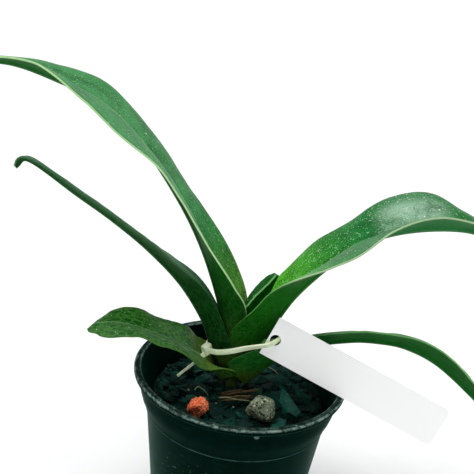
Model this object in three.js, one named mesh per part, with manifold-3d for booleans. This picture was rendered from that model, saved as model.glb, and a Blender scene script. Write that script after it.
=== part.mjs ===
// A young slipper orchid, Paphiopedilum praestans, in a round green nursery pot.
// Six strap leaves stand in two ranks and clasp one another round a short stem.
// A cream tie holds a blank white tag to the fan of leaves. Millimetres, +Z up.
// The origin is the middle of the pot's flat underside, and -Y faces the viewer.
import * as THREE from 'three';
import { mergeVertices } from 'three/addons/utils/BufferGeometryUtils.js';
import Module from 'manifold-3d';

const wasm = await Module();
wasm.setup();

const { abs, cos, sin, sqrt, PI, min, max } = Math;
const { clamp, degToRad, lerp, smoothstep } = THREE.MathUtils;

// Pot: a four inch round nursery pot with a flared collar and a rolled rim
const POT_HEIGHT = 95;
const RIM_RADIUS = 54;
const MOUTH_RADIUS = 50.6;
const RIM_DEPTH = 3.4;
const COLLAR_RADIUS = 50.3;
const COLLAR_DEPTH = 22.5;
const BODY_TOP_RADIUS = 46.2;
const BODY_FOOT_RADIUS = 37.8;
const POT_WALL = 1.2;
const POT_FLOOR = 1.6;
const POT_SIDES = 48;
const DRAIN_HOLES = 8;
const DRAIN_RADIUS = 3.6;
const DRAIN_RING = 27;
const BODY_TOP = POT_HEIGHT - COLLAR_DEPTH;
const LIP_FOOT = POT_HEIGHT - RIM_DEPTH;

// Room left between pieces that lie against each other
const CLEARANCE = 0.35;

// Potting mix: coarse dark bark, heaped a little towards the plant
const MIX_SURFACE = 80;
const MIX_CROWN = 3.6;
const MIX_SIDES = 32;
const CHIP_COUNT = 46;
const CHIP_RING = [9, 42];
const CHIP_SIZE = { least: [7, 5, 3], spread: [7, 4, 3] };
const STEM_HOLE_RADIUS = 7;
const STEM_HOLE_FOOT = 34;

// Stem: short and tapered, on a few thick roots
const AXIS_X = -4;
const STEM_FOOT_RADIUS = 3.9;
const STEM_FOOT = 80;
const STEM_TIP = 103;
const ROOT_COUNT = 5;
const ROOT_RADIUS = 1.7;

// Sheaths: the leaf bases clasp round the stem's axis in nested ellipses
const SHEATH_STEP = 1.45;
const INNER_SHEATH = 1.8;
const SHEATH_FOOT_SHARE = 0.62;

// Leaf blades: each half of a blade is one strip, bent by the cup angle from fold to margin
const BLADE_STEPS = 26;
const HALF_STEPS = 4;
const BLADE_THICKNESS = 1.2;
const MARGIN_THICKNESS = 0.8;
const KEEL_DEPTH = 1.5;
const TIP_HALF_WIDTH = 1.2;
const BASE_CUP = -26;
const BLADE_CUP = 16;

const GREEN = 0x1c6a24;
const OLIVE = 0x4d7a22;

// Each leaf: which side it leans to, its place in the nest from the inside out,
// the crease of its midrib from base to tip, the width of one half, and how far the
// front and back halves open from the fan's plane, in degrees at even steps.
const LEAVES = [
  {
    name: 'leaf_centre_new', side: 1, nest: 0, color: GREEN, steps: 16,
    midrib: [[-1.5, 0, 104.5], [0, 0, 113], [4, 0, 125], [8, 0, 139], [11, 0, 149]],
    halfWidth: 9, baseShare: 0.7, taperFrom: 0.45,
    clasp: [0.3, 0.6], wrap: [80, 110, 105, 100], slant: 0.1,
    front: [20, 20, 24, 30, 40, 55, 75], back: [20, 22, 28, 36, 45, 55, 75],
  },
  {
    name: 'leaf_left_long', side: -1, nest: 1, color: GREEN,
    midrib: [[-7, 0, 98], [-9.5, 0, 112], [-15, 0, 132], [-25, 0, 157], [-38, 0, 180],
      [-57, 0, 205], [-77, 0, 222], [-99, 0, 231], [-123, 0, 236], [-148, 0, 231]],
    halfWidth: 17, baseShare: 0.9, taperFrom: 0.62,
    clasp: [0.06, 0.2], wrap: [70, 110, 105, 100], slant: 0.1,
    front: [20, 20, 47, 68, 74, 77, 93, 86, 66, 76, 88],
    back: [15, 18, 42, 66, 80, 82, 81, 74, 83, 94, 100],
  },
  {
    name: 'leaf_right_long', side: 1, nest: 2, color: GREEN,
    midrib: [[-0.5, 0, 93.5], [5, 0, 107.5], [12, 0, 120], [21, 0, 138], [33, 0, 154],
      [46, 0, 168], [63, 0, 177], [82, 0, 182], [100, 0, 183], [117, 0, 178], [132, 0, 170]],
    halfWidth: 22, baseShare: 0.6, taperFrom: 0.6,
    clasp: [0.05, 0.24], wrap: [90, 118, 100, 80], slant: 0.3,
    front: [15, 20, 35, 50, 69, 81, 65, 56, 63, 63, 60],
    back: [33, 46, 60, 73, 72, 78, 60, 55, 82, 88, 86],
  },
  {
    name: 'leaf_left_slender', side: -1, nest: 3, color: GREEN,
    midrib: [[-8.5, 0, 91], [-15, 0, 103], [-21, 0, 119], [-34, 0, 138], [-51, 0, 154],
      [-69, 0, 167], [-87, 0, 178], [-110, 0, 192], [-117, 0, 188]],
    halfWidth: 12, baseShare: 0.8, taperFrom: 0.55,
    clasp: [0.05, 0.24], wrap: [70, 95, 72, 60], slant: 0.2,
    front: [25, 25, 25, 32, 48, 54, 59, 60, 61, 64, 76],
    back: [24, 32, 42, 58, 82, 96, 102, 103, 103, 106, 95],
  },
  {
    name: 'leaf_left_short', side: -1, nest: 4, color: OLIVE,
    midrib: [[-9.5, 0, 88.5], [-14, -1, 95], [-18, -4, 101], [-24, -9, 106], [-33, -14, 113],
      [-48, -18, 120], [-60, -22, 124], [-70, -25, 124], [-74, -26, 121]],
    halfWidth: 12, baseShare: 0.7, taperFrom: 0.6,
    clasp: [0.1, 0.26], wrap: [35, 95, 90, 80], slant: 0.1,
    front: [50, 60, 80, 84, 76, 76, 82, 78, 92, 118, 130],
    back: [60, 70, 80, 76, 70, 74, 80, 70, 77, 97, 120],
  },
  {
    name: 'leaf_right_low', side: 1, nest: 5, color: GREEN,
    midrib: [[2, 0, 86], [8, 0, 93], [14, 1, 99.5], [28, 4, 109], [52, 6, 115],
      [68, 7, 116], [83, 8, 114], [101, 9, 106], [123, 10, 89], [137, 10, 76]],
    halfWidth: 13, baseShare: 0.85, taperFrom: 0.6,
    clasp: [0.1, 0.24], wrap: [25, 95, 95, 80], slant: 0.1,
    front: [50, 50, 50, 44, 43, 44, 41, 45, 52, 57, 60],
    back: [70, 85, 95, 98, 98, 100, 88, 78, 70, 70, 70],
  },
];

// Tag: a four inch plant label, its near lower corner, and its edges' directions
const TAG_LENGTH = 95;
const TAG_WIDTH = 20.5;
const TAG_THICKNESS = 0.6;
const TAG_CORNER = new THREE.Vector3(7.6, -12, 112);
const TAG_ALONG = new THREE.Vector3(0.93, -0.11, -0.36).normalize();
const TAG_ACROSS = new THREE.Vector3(0.37, 0.15, 0.92);
const TAG_CORNER_RADIUS = 3;
const TAG_HOLE_RADIUS = 2.7;
const TAG_HOLE = { along: 3.7, across: 9.5 };

// Tie: one moulded strap that goes round the fan and through the tag's hole, its locking
// head, and the free tail that is left over
const STRAP_WIDTH = 2.7;
const STRAP_THICKNESS = 1.1;
const STRAP_STEPS = 44;
const STRAP_ROUTE = [
  [-18.2, -5, 106.5], [-13.5, -9.6, 108], [-7, -11, 110], [0.4, -11.6, 113], [7, -13.6, 116.2],
  [11, -14.4, 117.8], [14.4, -12.3, 119], [17, -8.4, 119.6], [18, -3, 119.4], [15.5, 3, 118.6],
  [9, 8.2, 116.5], [-1, 10.6, 112.5], [-11, 9, 108.4], [-18, 3, 106.5],
];
const TAIL_THICKNESS = 1;
const TAIL_TIP_WIDTH = 1.3;
const TAIL_ROUTE = [[-17.6, -5.6, 105.6], [-20.6, -7.6, 103], [-26, -11, 98.6], [-31, -14, 94.6]];
const HEAD_SIZE = [5.2, 4, 5.6];
const HEAD_TURN = { z: 0.9, y: -0.3 };

// Stones and bark that lie on the mix: shape, size, place and turn of each
const LUMPS = [
  { name: 'lava_rock', shape: 'stone', color: 0xb5452c, seed: 5, size: [12.5, 10, 12],
    at: [-19.4, -26, 86], turn: [0.2, 0.1, 0.4], rough: 0.22 },
  { name: 'grey_stone', shape: 'stone', color: 0x6f7566, seed: 11, size: [16, 12, 13.5],
    at: [11.5, -22, 85.5], turn: [-0.5, 0.1, -0.15], rough: 0.12 },
  { name: 'slate_chip', shape: 'slab', color: 0x24463e, seed: 3, size: [12.5, 17, 3.4],
    at: [27, -17.5, 85.7], turn: [0.75, 0.15, 0.5], rough: 0.16 },
  { name: 'bark_sliver_front', shape: 'splinter', color: 0x5c4a30, seed: 8, size: [20, 4.4, 2.6],
    at: [-2, -15.7, 87.2], turn: [0.1, -0.06, 0.2], rough: 0.3 },
  { name: 'bark_sliver_back', shape: 'splinter', color: 0x4a4630, seed: 21, size: [23, 3.6, 2.4],
    at: [0, -10.8, 87.4], turn: [0.2, -0.1, 0.32], rough: 0.3 },
];

// Seeded random numbers, so that every build is the same
function randomSource(seed) {
  let state = seed;
  return () => {
    state = (state * 1664525 + 1013904223) % 4294967296;
    return state / 4294967296;
  };
}

const vectors = (list) => list.map((p) => new THREE.Vector3(...p));

// A geometry's bare shape, with its shared corners merged
function welded(geometry) {
  const bare = geometry.clone();
  bare.deleteAttribute('normal');
  bare.deleteAttribute('uv');
  return mergeVertices(bare, 1e-4);
}

// A geometry as a manifold solid
function solid(geometry) {
  const merged = welded(geometry);
  const mesh = new wasm.Mesh({
    numProp: 3,
    vertProperties: new Float32Array(merged.attributes.position.array),
    triVerts: new Uint32Array(merged.index.array),
  });
  return new wasm.Manifold(mesh);
}

// A manifold solid back as a geometry; loose scraps are dropped
function geometryOf(manifold) {
  const pieces = manifold.decompose();
  pieces.sort((a, b) => b.volume() - a.volume());
  const mesh = pieces[0].getMesh();
  const geometry = new THREE.BufferGeometry();
  geometry.setAttribute('position', new THREE.BufferAttribute(mesh.vertProperties, 3));
  geometry.setIndex(new THREE.BufferAttribute(mesh.triVerts, 1));
  return geometry;
}

function signedVolume(geometry) {
  const place = geometry.attributes.position;
  const { index } = geometry;
  const corners = vectors([[0, 0, 0], [0, 0, 0], [0, 0, 0]]);
  let total = 0;
  for (let i = 0; i < index.count; i += 3) {
    corners.forEach((corner, j) => corner.fromBufferAttribute(place, index.getX(i + j)));
    total += corners[0].dot(corners[1].clone().cross(corners[2]));
  }
  return total / 6;
}

// The geometry with its faces turned outwards
function facingOut(geometry) {
  if (signedVolume(geometry) >= 0) return geometry;
  const { index } = geometry;
  for (let i = 0; i < index.count; i += 3) {
    const second = index.getX(i + 1);
    index.setX(i + 1, index.getX(i + 2));
    index.setX(i + 2, second);
  }
  return geometry;
}

// Rings of points, all with the same count, joined into one closed skin. A ring runs out on
// one face and back on the other, and both faces are split into triangles alike. The ends
// are flat strips, or there are none where the rings come round to the first one.
function loft(rings, endless = false) {
  const count = rings[0].length;
  const index = [];
  for (let i = 0; i + 1 < rings.length; i++) {
    for (let j = 0; j < count; j++) {
      const a = i * count + j;
      const b = i * count + ((j + 1) % count);
      if (j < count / 2) index.push(a, b, a + count, b, b + count, a + count);
      else index.push(a, b, b + count, a, b + count, a + count);
    }
  }
  const last = (rings.length - 1) * count;
  for (let j = 0; !endless && j + 1 < count / 2; j++) {
    const far = count - 1 - j;
    index.push(j, far - 1, j + 1, j, far, far - 1);
    index.push(last + j, last + j + 1, last + far - 1, last + j, last + far - 1, last + far);
  }
  const position = rings.flat().flatMap((p) => [p.x, p.y, p.z]);
  const geometry = new THREE.BufferGeometry();
  geometry.setAttribute('position', new THREE.Float32BufferAttribute(position, 3));
  geometry.setIndex(index);
  return facingOut(welded(geometry));
}

// A lathed solid round +Z from [radius, height] pairs
function lathe(profile, sides) {
  const outline = profile.map(([radius, z]) => new THREE.Vector2(radius, z));
  return new THREE.LatheGeometry(outline, sides).rotateX(PI / 2);
}

// A smooth value through the given ones, which stand at even steps of u from 0 to 1
function along(values, u) {
  const points = values.map((value, i) => new THREE.Vector2(i / (values.length - 1), value));
  return new THREE.SplineCurve(points).getPoint(clamp(u, 0, 1)).y;
}

// Width of one half of a leaf, from its clasping base to its rounded tip
function halfWidth(leaf, u) {
  const rise = lerp(leaf.baseShare, 1, smoothstep(u, 0.05, 0.35));
  const fall = clamp((u - leaf.taperFrom) / (1 - leaf.taperFrom), 0, 1);
  return max(TIP_HALF_WIDTH, leaf.halfWidth * rise * sqrt(1 - fall ** 2.2));
}

// Half the sheath's depth towards the viewer: deeper for the outer leaves of the nest
function sheathDepth(leaf, u) {
  const deep = INNER_SHEATH + SHEATH_STEP * leaf.nest;
  return deep * lerp(SHEATH_FOOT_SHARE, 1, smoothstep(u, 0, leaf.clasp[0]));
}

// At a point of the crease: the direction into the fold, and the one to the back
function foldFrame(leaf, curve, u) {
  const crease = curve.getPointAt(u);
  const forward = curve.getTangentAt(u);
  const inward = new THREE.Vector3(0, 1, 0).cross(forward).multiplyScalar(-leaf.side).normalize();
  const backward = forward.clone().cross(inward).normalize();
  if (backward.y < 0) backward.negate();
  return { crease, inward, backward };
}

// The middle surface of a leaf at u along it, from the front margin to the back one. At its
// base a leaf follows its sheath's ellipse, and further out it opens as a folded blade.
function bladeSection(leaf, curve, u) {
  const { crease, inward, backward } = foldFrame(leaf, curve, u);
  const step = halfWidth(leaf, u) / HALF_STEPS;
  const cup = lerp(BASE_CUP, BLADE_CUP, smoothstep(u, 0.15, 0.4));
  const clasped = 1 - smoothstep(u, leaf.clasp[0], leaf.clasp[1]);
  const across = (crease.x - AXIS_X) * leaf.side;
  const deep = sheathDepth(leaf, u);
  const wrap = along(leaf.wrap, u / leaf.clasp[1]);

  const half = (way, openings) => {
    const opening = along(openings, u);
    const blade = crease.clone();
    const points = [];
    for (let j = 1; j <= HALF_STEPS; j++) {
      const angle = degToRad(opening + cup * ((2 * j - 1) / HALF_STEPS - 1));
      blade.addScaledVector(inward, cos(angle) * step);
      blade.addScaledVector(backward, way * sin(angle) * step);
      const turn = degToRad((wrap * j) / HALF_STEPS);
      const back = across * (1 - cos(turn));
      const sheath = new THREE.Vector3(-leaf.side * back, way * deep * sin(turn), leaf.slant * back);
      points.push(blade.clone().lerp(sheath.add(crease), clasped));
    }
    return points;
  };
  return { section: [...half(-1, leaf.front).reverse(), crease, ...half(1, leaf.back)], inward };
}

// A section with its margins moved out by the extra room
function widened(section, extra) {
  const last = section.length - 1;
  const moved = section.map((point) => point.clone());
  moved[0].addScaledVector(section[0].clone().sub(section[1]).normalize(), extra);
  moved[last].addScaledVector(section[last].clone().sub(section[last - 1]).normalize(), extra);
  return moved;
}

// A closed blade: the middle surface given its thickness, with a keel under the midrib
function leafGeometry(leaf, extra = 0) {
  const curve = new THREE.CatmullRomCurve3(vectors(leaf.midrib), false, 'catmullrom', 0.5);
  curve.arcLengthDivisions = 400;
  const count = leaf.steps ?? BLADE_STEPS;
  const last = 2 * HALF_STEPS;
  const frames = Array.from({ length: count + 1 }, (_, i) => bladeSection(leaf, curve, i / count));
  const sections = frames.map(({ section }) => widened(section, extra));
  const rings = sections.map((section, i) => {
    const lengthways = (j) => sections[min(count, i + 1)][j].clone().sub(sections[max(0, i - 1)][j]);
    const sideways = (j) => section[min(last, j + 1)].clone().sub(section[max(0, j - 1)]);
    const normals = section.map((_, j) => lengthways(j).cross(sideways(j)).normalize());
    const facing = normals[HALF_STEPS].dot(frames[i].inward) > 0 ? 1 : -1;
    const thick = (j) => {
      const fromFold = abs(j - HALF_STEPS) / HALF_STEPS;
      return lerp(BLADE_THICKNESS, MARGIN_THICKNESS, fromFold ** 2) / 2 + extra;
    };
    const keel = (j) => (j === HALF_STEPS ? KEEL_DEPTH + extra : thick(j));
    const inner = section.map((point, j) => point.clone().addScaledVector(normals[j], facing * thick(j)));
    const outer = section.map((point, j) => point.clone().addScaledVector(normals[j], -facing * keel(j)));
    return [...inner, ...outer.reverse()];
  });
  return loft(rings);
}

// A flat band along a curve, whose thickness stands along the outward direction
function bandGeometry(curve, steps, width, thickness, outwardAt) {
  const rings = [];
  for (let i = 0; i <= steps; i++) {
    const u = curve.closed ? (i % steps) / steps : i / steps;
    const at = curve.getPointAt(u);
    const forward = curve.getTangentAt(u);
    const outward = outwardAt(at);
    outward.addScaledVector(forward, -outward.dot(forward)).normalize();
    const upward = forward.cross(outward);
    const w = width(u) / 2;
    const t = thickness / 2;
    rings.push([[-w, -t], [w, -t], [w, t], [-w, t]].map(([up, out]) => at.clone()
      .addScaledVector(upward, up).addScaledVector(outward, out)));
  }
  return loft(rings, curve.closed);
}

// The tie's solid, or with some extra all round, the room that it needs
function tieSolid(extra = 0) {
  const strapCurve = new THREE.CatmullRomCurve3(vectors(STRAP_ROUTE), true, 'centripetal');
  const fromAxis = (at) => new THREE.Vector3(at.x - AXIS_X, at.y, 0);
  const strap = bandGeometry(strapCurve, STRAP_STEPS, () => STRAP_WIDTH + 2 * extra,
    STRAP_THICKNESS + 2 * extra, fromAxis);

  const tailCurve = new THREE.CatmullRomCurve3(vectors(TAIL_ROUTE), false, 'centripetal');
  const tailWidth = (u) => lerp(STRAP_WIDTH, TAIL_TIP_WIDTH, smoothstep(u, 0.3, 0.5)) + 2 * extra;
  const tail = bandGeometry(tailCurve, 8, tailWidth, TAIL_THICKNESS + 2 * extra,
    () => new THREE.Vector3(0.5, -0.8, 0.3));

  const head = new THREE.BoxGeometry(...HEAD_SIZE.map((side) => side + 2 * extra));
  head.rotateZ(HEAD_TURN.z).rotateY(HEAD_TURN.y).translate(...STRAP_ROUTE[0]);
  return solid(strap).add(solid(tail)).add(solid(head));
}

function stemGeometry() {
  return lathe([
    [0, STEM_FOOT - 8], [STEM_FOOT_RADIUS - 1, STEM_FOOT - 6], [STEM_FOOT_RADIUS, STEM_FOOT],
    [STEM_FOOT_RADIUS * 0.62, STEM_FOOT + 13], [1, STEM_TIP], [0, STEM_TIP + 0.8],
  ], 12).translate(AXIS_X, 0, 0);
}

// One root, which leaves the stem's foot and goes down close beside the others
function rootGeometry(i) {
  const turn = (i / ROOT_COUNT) * 2 * PI + 0.4;
  const at = (radius, z, swing) => new THREE.Vector3(
    AXIS_X + radius * cos(turn + swing), radius * sin(turn + swing), z);
  const curve = new THREE.CatmullRomCurve3([
    at(1.5, STEM_FOOT - 2, 0), at(3.6, STEM_FOOT - 12, 0.1),
    at(4.6, STEM_FOOT - 26, 0.3), at(4.4, STEM_HOLE_FOOT + 6 + 2 * (i % 3), 0.5),
  ]);
  const shape = new THREE.Shape().absarc(0, 0, ROOT_RADIUS, 0, 2 * PI);
  return new THREE.ExtrudeGeometry(shape, {
    extrudePath: curve, steps: 6, curveSegments: 4, bevelEnabled: false,
  });
}

// Radius of the pot's outer wall at a height, on the tapered body
function bodyRadius(z) {
  return lerp(BODY_FOOT_RADIUS, BODY_TOP_RADIUS, z / BODY_TOP);
}

// The pot's wall: up the outside, over the rolled rim and down the inside
function potGeometry() {
  const foot = [
    [0, 0], [BODY_FOOT_RADIUS - 0.8, 0], [bodyRadius(0.8), 0.8], [BODY_TOP_RADIUS, BODY_TOP],
  ];
  const collar = [
    [BODY_TOP_RADIUS + 0.7, BODY_TOP + 0.5], [BODY_TOP_RADIUS + 0.8, BODY_TOP + 1.4],
    [BODY_TOP_RADIUS + 1.1, BODY_TOP + 2.8], [COLLAR_RADIUS - 1.3, BODY_TOP + 6.5],
    [COLLAR_RADIUS - 0.3, BODY_TOP + 10], [COLLAR_RADIUS, BODY_TOP + 13],
    [COLLAR_RADIUS + 0.2, LIP_FOOT - 0.4],
  ];
  const rim = [
    [RIM_RADIUS - 0.9, LIP_FOOT], [RIM_RADIUS, LIP_FOOT + 1], [RIM_RADIUS, POT_HEIGHT - 1],
    [RIM_RADIUS - 0.8, POT_HEIGHT], [MOUTH_RADIUS + 0.6, POT_HEIGHT], [MOUTH_RADIUS, POT_HEIGHT - 0.7],
  ];
  const inside = [
    [COLLAR_RADIUS - POT_WALL, BODY_TOP + 12.5], [COLLAR_RADIUS - POT_WALL - 0.5, BODY_TOP + 9.5],
    [BODY_TOP_RADIUS - POT_WALL + 0.6, BODY_TOP + 1.5], [BODY_TOP_RADIUS - POT_WALL, BODY_TOP - 1],
    [bodyRadius(POT_FLOOR) - POT_WALL, POT_FLOOR], [0, POT_FLOOR],
  ];
  return lathe([...foot, ...collar, ...rim, ...inside], POT_SIDES);
}

function potSolid() {
  let pot = solid(potGeometry());
  for (let i = 0; i < DRAIN_HOLES; i++) {
    const turn = ((i + 0.5) / DRAIN_HOLES) * 2 * PI;
    const hole = new THREE.CylinderGeometry(DRAIN_RADIUS, DRAIN_RADIUS, 4 * POT_FLOOR, 10);
    hole.rotateX(PI / 2).translate(DRAIN_RING * cos(turn), DRAIN_RING * sin(turn), 0);
    pot = pot.subtract(solid(hole));
  }
  return pot;
}

// A round stone: a ball swollen by a few crossing waves
function stoneShape(rough, random) {
  const ball = welded(new THREE.IcosahedronGeometry(0.5, 2));
  const waves = Array.from({ length: 5 }, () => new THREE.Vector3(
    random() * 2 - 1, random() * 2 - 1, random() * 2 - 1).multiplyScalar(8));
  return moved(ball, (p) => {
    const swell = waves.reduce((sum, wave, k) => sum + (rough / 2) * sin(p.dot(wave) + k), 1);
    return p.multiplyScalar(swell + rough * 0.3 * (random() - 0.5));
  });
}

// A flat broken slab with seven uneven sides
function slabShape(rough, random) {
  const slab = welded(new THREE.CylinderGeometry(0.43, 0.5, 1, 7).rotateX(PI / 2));
  return moved(slab, (p) => p.multiply(new THREE.Vector3(
    1 + rough * (random() - 0.5), 1 + rough * (random() - 0.5), 1 + rough * random())));
}

// A splinter of bark: a long bar with uneven edges that narrow to blunt torn ends
function splinterShape(rough, random) {
  const bar = welded(new THREE.BoxGeometry(1, 1, 1, 7, 2, 1));
  return moved(bar, (p) => {
    const narrow = 1 - 0.65 * abs(2 * p.x) ** 3;
    return new THREE.Vector3(p.x * (1 + 0.2 * rough * (random() - 0.5)),
      p.y * narrow + rough * 0.6 * (random() - 0.5), p.z * narrow + rough * 0.5 * (random() - 0.5));
  });
}

function moved(geometry, move) {
  const place = geometry.attributes.position;
  for (let i = 0; i < place.count; i++) {
    place.setXYZ(i, ...move(new THREE.Vector3().fromBufferAttribute(place, i)));
  }
  return geometry;
}

const SHAPES = { stone: stoneShape, slab: slabShape, splinter: splinterShape };

function lumpSolid(lump, extra = 0) {
  const shape = SHAPES[lump.shape](lump.rough, randomSource(lump.seed));
  shape.scale(...lump.size.map((side) => side + 2 * extra));
  shape.rotateX(lump.turn[0]).rotateY(lump.turn[1]).rotateZ(lump.turn[2]);
  return solid(shape.translate(...lump.at));
}

// The filling below the loose chips, which follows the pot's inner wall
function fillingGeometry() {
  const wall = (z) => bodyRadius(z) - POT_WALL - CLEARANCE;
  return lathe([
    [0, POT_FLOOR + CLEARANCE], [wall(POT_FLOOR) - 0.4, POT_FLOOR + CLEARANCE],
    [wall(BODY_TOP - 1), BODY_TOP - 1.5], [wall(BODY_TOP - 1) + 0.4, MIX_SURFACE - 3],
    [34, MIX_SURFACE - 1], [20, MIX_SURFACE + MIX_CROWN * 0.6], [0, MIX_SURFACE + MIX_CROWN],
  ], MIX_SIDES);
}

// The room inside the pot, which no chip leaves
function potRoomGeometry() {
  return lathe([
    [0, 0], [bodyRadius(0) - POT_WALL - CLEARANCE, 0],
    [bodyRadius(BODY_TOP - 1) - POT_WALL - CLEARANCE, BODY_TOP - 1],
    [BODY_TOP_RADIUS - POT_WALL + 0.6 - CLEARANCE, BODY_TOP + 1.5],
    [COLLAR_RADIUS - POT_WALL - 0.5 - CLEARANCE, BODY_TOP + 9.5],
    [MOUTH_RADIUS - 2, POT_HEIGHT], [0, POT_HEIGHT],
  ], POT_SIDES);
}

// A chip of bark: a box with its corners pushed about
function chipGeometry(random) {
  const chip = moved(welded(new THREE.BoxGeometry(1, 1, 1)), (p) => p.multiply(new THREE.Vector3(
    0.75 + 0.5 * random(), 0.75 + 0.5 * random(), 0.75 + 0.5 * random())));
  chip.scale(...CHIP_SIZE.least.map((side, axis) => side + CHIP_SIZE.spread[axis] * random()));
  return chip.rotateX((random() - 0.5) * 1.2).rotateY((random() - 0.5) * 1.1).rotateZ(random() * PI);
}

// The whole mix: the filling and its chips, with room left for what stands or lies in it
function mixSolid(rooms) {
  const random = randomSource(41);
  let mix = solid(fillingGeometry());
  for (let i = 0; i < CHIP_COUNT; i++) {
    const turn = i * PI * (3 - sqrt(5));
    const radius = lerp(CHIP_RING[0], CHIP_RING[1], sqrt((i + 0.5) / CHIP_COUNT));
    const chip = chipGeometry(random);
    const lift = MIX_SURFACE + 1 + (radius < 22 ? 2 : 0) + 2 * (random() - 0.5);
    chip.translate(radius * cos(turn), radius * sin(turn), lift);
    mix = mix.add(solid(chip));
  }
  mix = mix.intersect(solid(potRoomGeometry()));
  const hole = new THREE.CylinderGeometry(STEM_HOLE_RADIUS, STEM_HOLE_RADIUS, 80, 16);
  hole.rotateX(PI / 2).translate(AXIS_X, 0, STEM_HOLE_FOOT + 40);
  return [solid(hole), ...rooms].reduce((left, room) => left.subtract(room), mix);
}

// A blank plastic label with round far corners and a hole near its other end
function tagGeometry() {
  const far = TAG_LENGTH - TAG_CORNER_RADIUS;
  const outline = new THREE.Shape();
  outline.moveTo(0, 0);
  outline.lineTo(far, 0);
  outline.absarc(far, TAG_CORNER_RADIUS, TAG_CORNER_RADIUS, -PI / 2, 0);
  outline.absarc(far, TAG_WIDTH - TAG_CORNER_RADIUS, TAG_CORNER_RADIUS, 0, PI / 2);
  outline.lineTo(0, TAG_WIDTH);
  outline.closePath();
  outline.holes.push(new THREE.Path().absarc(TAG_HOLE.along, TAG_HOLE.across, TAG_HOLE_RADIUS, 0, 2 * PI));
  const normal = TAG_ALONG.clone().cross(TAG_ACROSS).normalize();
  const frame = new THREE.Matrix4().makeBasis(TAG_ALONG, normal.clone().cross(TAG_ALONG), normal);
  return new THREE.ExtrudeGeometry(outline, { depth: TAG_THICKNESS, curveSegments: 8, bevelEnabled: false })
    .applyMatrix4(frame.setPosition(TAG_CORNER));
}

const parts = new THREE.Group();

function addPart(name, geometry, color, roughness) {
  const mesh = new THREE.Mesh(geometry, new THREE.MeshStandardMaterial({ color, roughness, metalness: 0 }));
  mesh.name = name;
  parts.add(mesh);
}

// The leaf nest: an older leaf is trimmed where it would touch the ones inside it or the tie
const tieRoom = tieSolid(CLEARANCE);
const leafRooms = [];
for (const leaf of LEAVES) {
  const whole = solid(leafGeometry(leaf));
  const body = [...leafRooms, tieRoom].reduce((left, room) => left.subtract(room), whole);
  addPart(leaf.name, geometryOf(body), leaf.color, 0.45);
  leafRooms.push(solid(leafGeometry(leaf, CLEARANCE)));
}

let stem = solid(stemGeometry());
for (let i = 0; i < ROOT_COUNT; i++) stem = stem.add(solid(rootGeometry(i)));
for (const room of leafRooms) stem = stem.subtract(room);
addPart('stem_and_roots', geometryOf(stem), 0x6c7a3a, 0.7);

addPart('pot', geometryOf(potSolid()), 0x0d3b26, 0.4);

const lumpRooms = [];
for (const lump of LUMPS) {
  const body = lumpRooms.reduce((left, room) => left.subtract(room), lumpSolid(lump));
  addPart(lump.name, geometryOf(body), lump.color, 0.85);
  lumpRooms.push(lumpSolid(lump, CLEARANCE));
}
addPart('potting_mix', geometryOf(mixSolid([...lumpRooms, ...leafRooms])), 0x14201a, 0.95);

addPart('label_tag', tagGeometry(), 0xf2f2ec, 0.35);
addPart('cable_tie', geometryOf(tieSolid()), 0xe6e3c8, 0.5);

export default parts;
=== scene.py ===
"""A young slipper orchid, Paphiopedilum praestans, in a green nursery pot.

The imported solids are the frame. Each of them is replaced by a finer piece of the same form:
folded leaves with ribs and pale margins, a moulded pot with a worn rim, loose bark, stones,
a nylon tie and a blank plant tag. Forms are given in millimetres, and +Z is up.
"""

import logging
import math
import random
from collections.abc import Callable
from dataclasses import dataclass, field, fields
from enum import Enum
from functools import lru_cache, partial, reduce

import bmesh
import bpy
from bpy.types import Material, Node, NodeSocket, NodeTree, Object
from mathutils import Matrix, Vector, noise


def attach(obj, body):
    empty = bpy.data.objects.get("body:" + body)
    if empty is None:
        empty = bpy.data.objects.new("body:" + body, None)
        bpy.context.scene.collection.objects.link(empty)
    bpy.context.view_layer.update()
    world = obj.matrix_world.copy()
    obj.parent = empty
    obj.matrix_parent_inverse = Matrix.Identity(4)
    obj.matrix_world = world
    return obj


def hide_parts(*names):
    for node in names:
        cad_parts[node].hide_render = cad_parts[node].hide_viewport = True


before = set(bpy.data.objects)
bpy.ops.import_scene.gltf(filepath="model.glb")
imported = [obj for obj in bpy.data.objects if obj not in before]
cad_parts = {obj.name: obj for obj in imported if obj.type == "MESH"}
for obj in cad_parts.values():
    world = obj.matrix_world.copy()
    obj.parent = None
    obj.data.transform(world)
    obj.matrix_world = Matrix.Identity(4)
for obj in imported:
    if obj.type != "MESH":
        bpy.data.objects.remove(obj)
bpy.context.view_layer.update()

MM = 0.001
PLANT_X = -4.0  # the plant's axis, in millimetres to the right of the pot's
LEFT, RIGHT = -1, 1
LOG = logging.getLogger("orchid")

Triple = tuple[float, float, float]
Colour = Triple
Ends = tuple[float, float]
Feed = NodeSocket | float | tuple
Number = float | Vector
BMesh = bmesh.types.BMesh
Layer = bmesh.types.BMLayerItem
PlaceAt = Callable[[float, float], Vector]


# ---- numbers and curves


def clamp(value: float, low: float = 0.0, high: float = 1.0) -> float:
    """The value kept between low and high."""
    return max(low, min(high, value))


def mix(a: float, b: float, share: float) -> float:
    """The number that lies at the given share of the way from a to b."""
    return a + (b - a) * share


def squared(value: float, power: float) -> float:
    """A cosine or sine pulled towards 1 or -1, which makes a circle boxy, by a power below 1."""
    return math.copysign(abs(value) ** power, value)


def ease(value: float, start: float, stop: float) -> float:
    """A smooth step from 0 at start to 1 at stop."""
    t = clamp((value - start) / (stop - start))
    return t * t * (3 - 2 * t)


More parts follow.
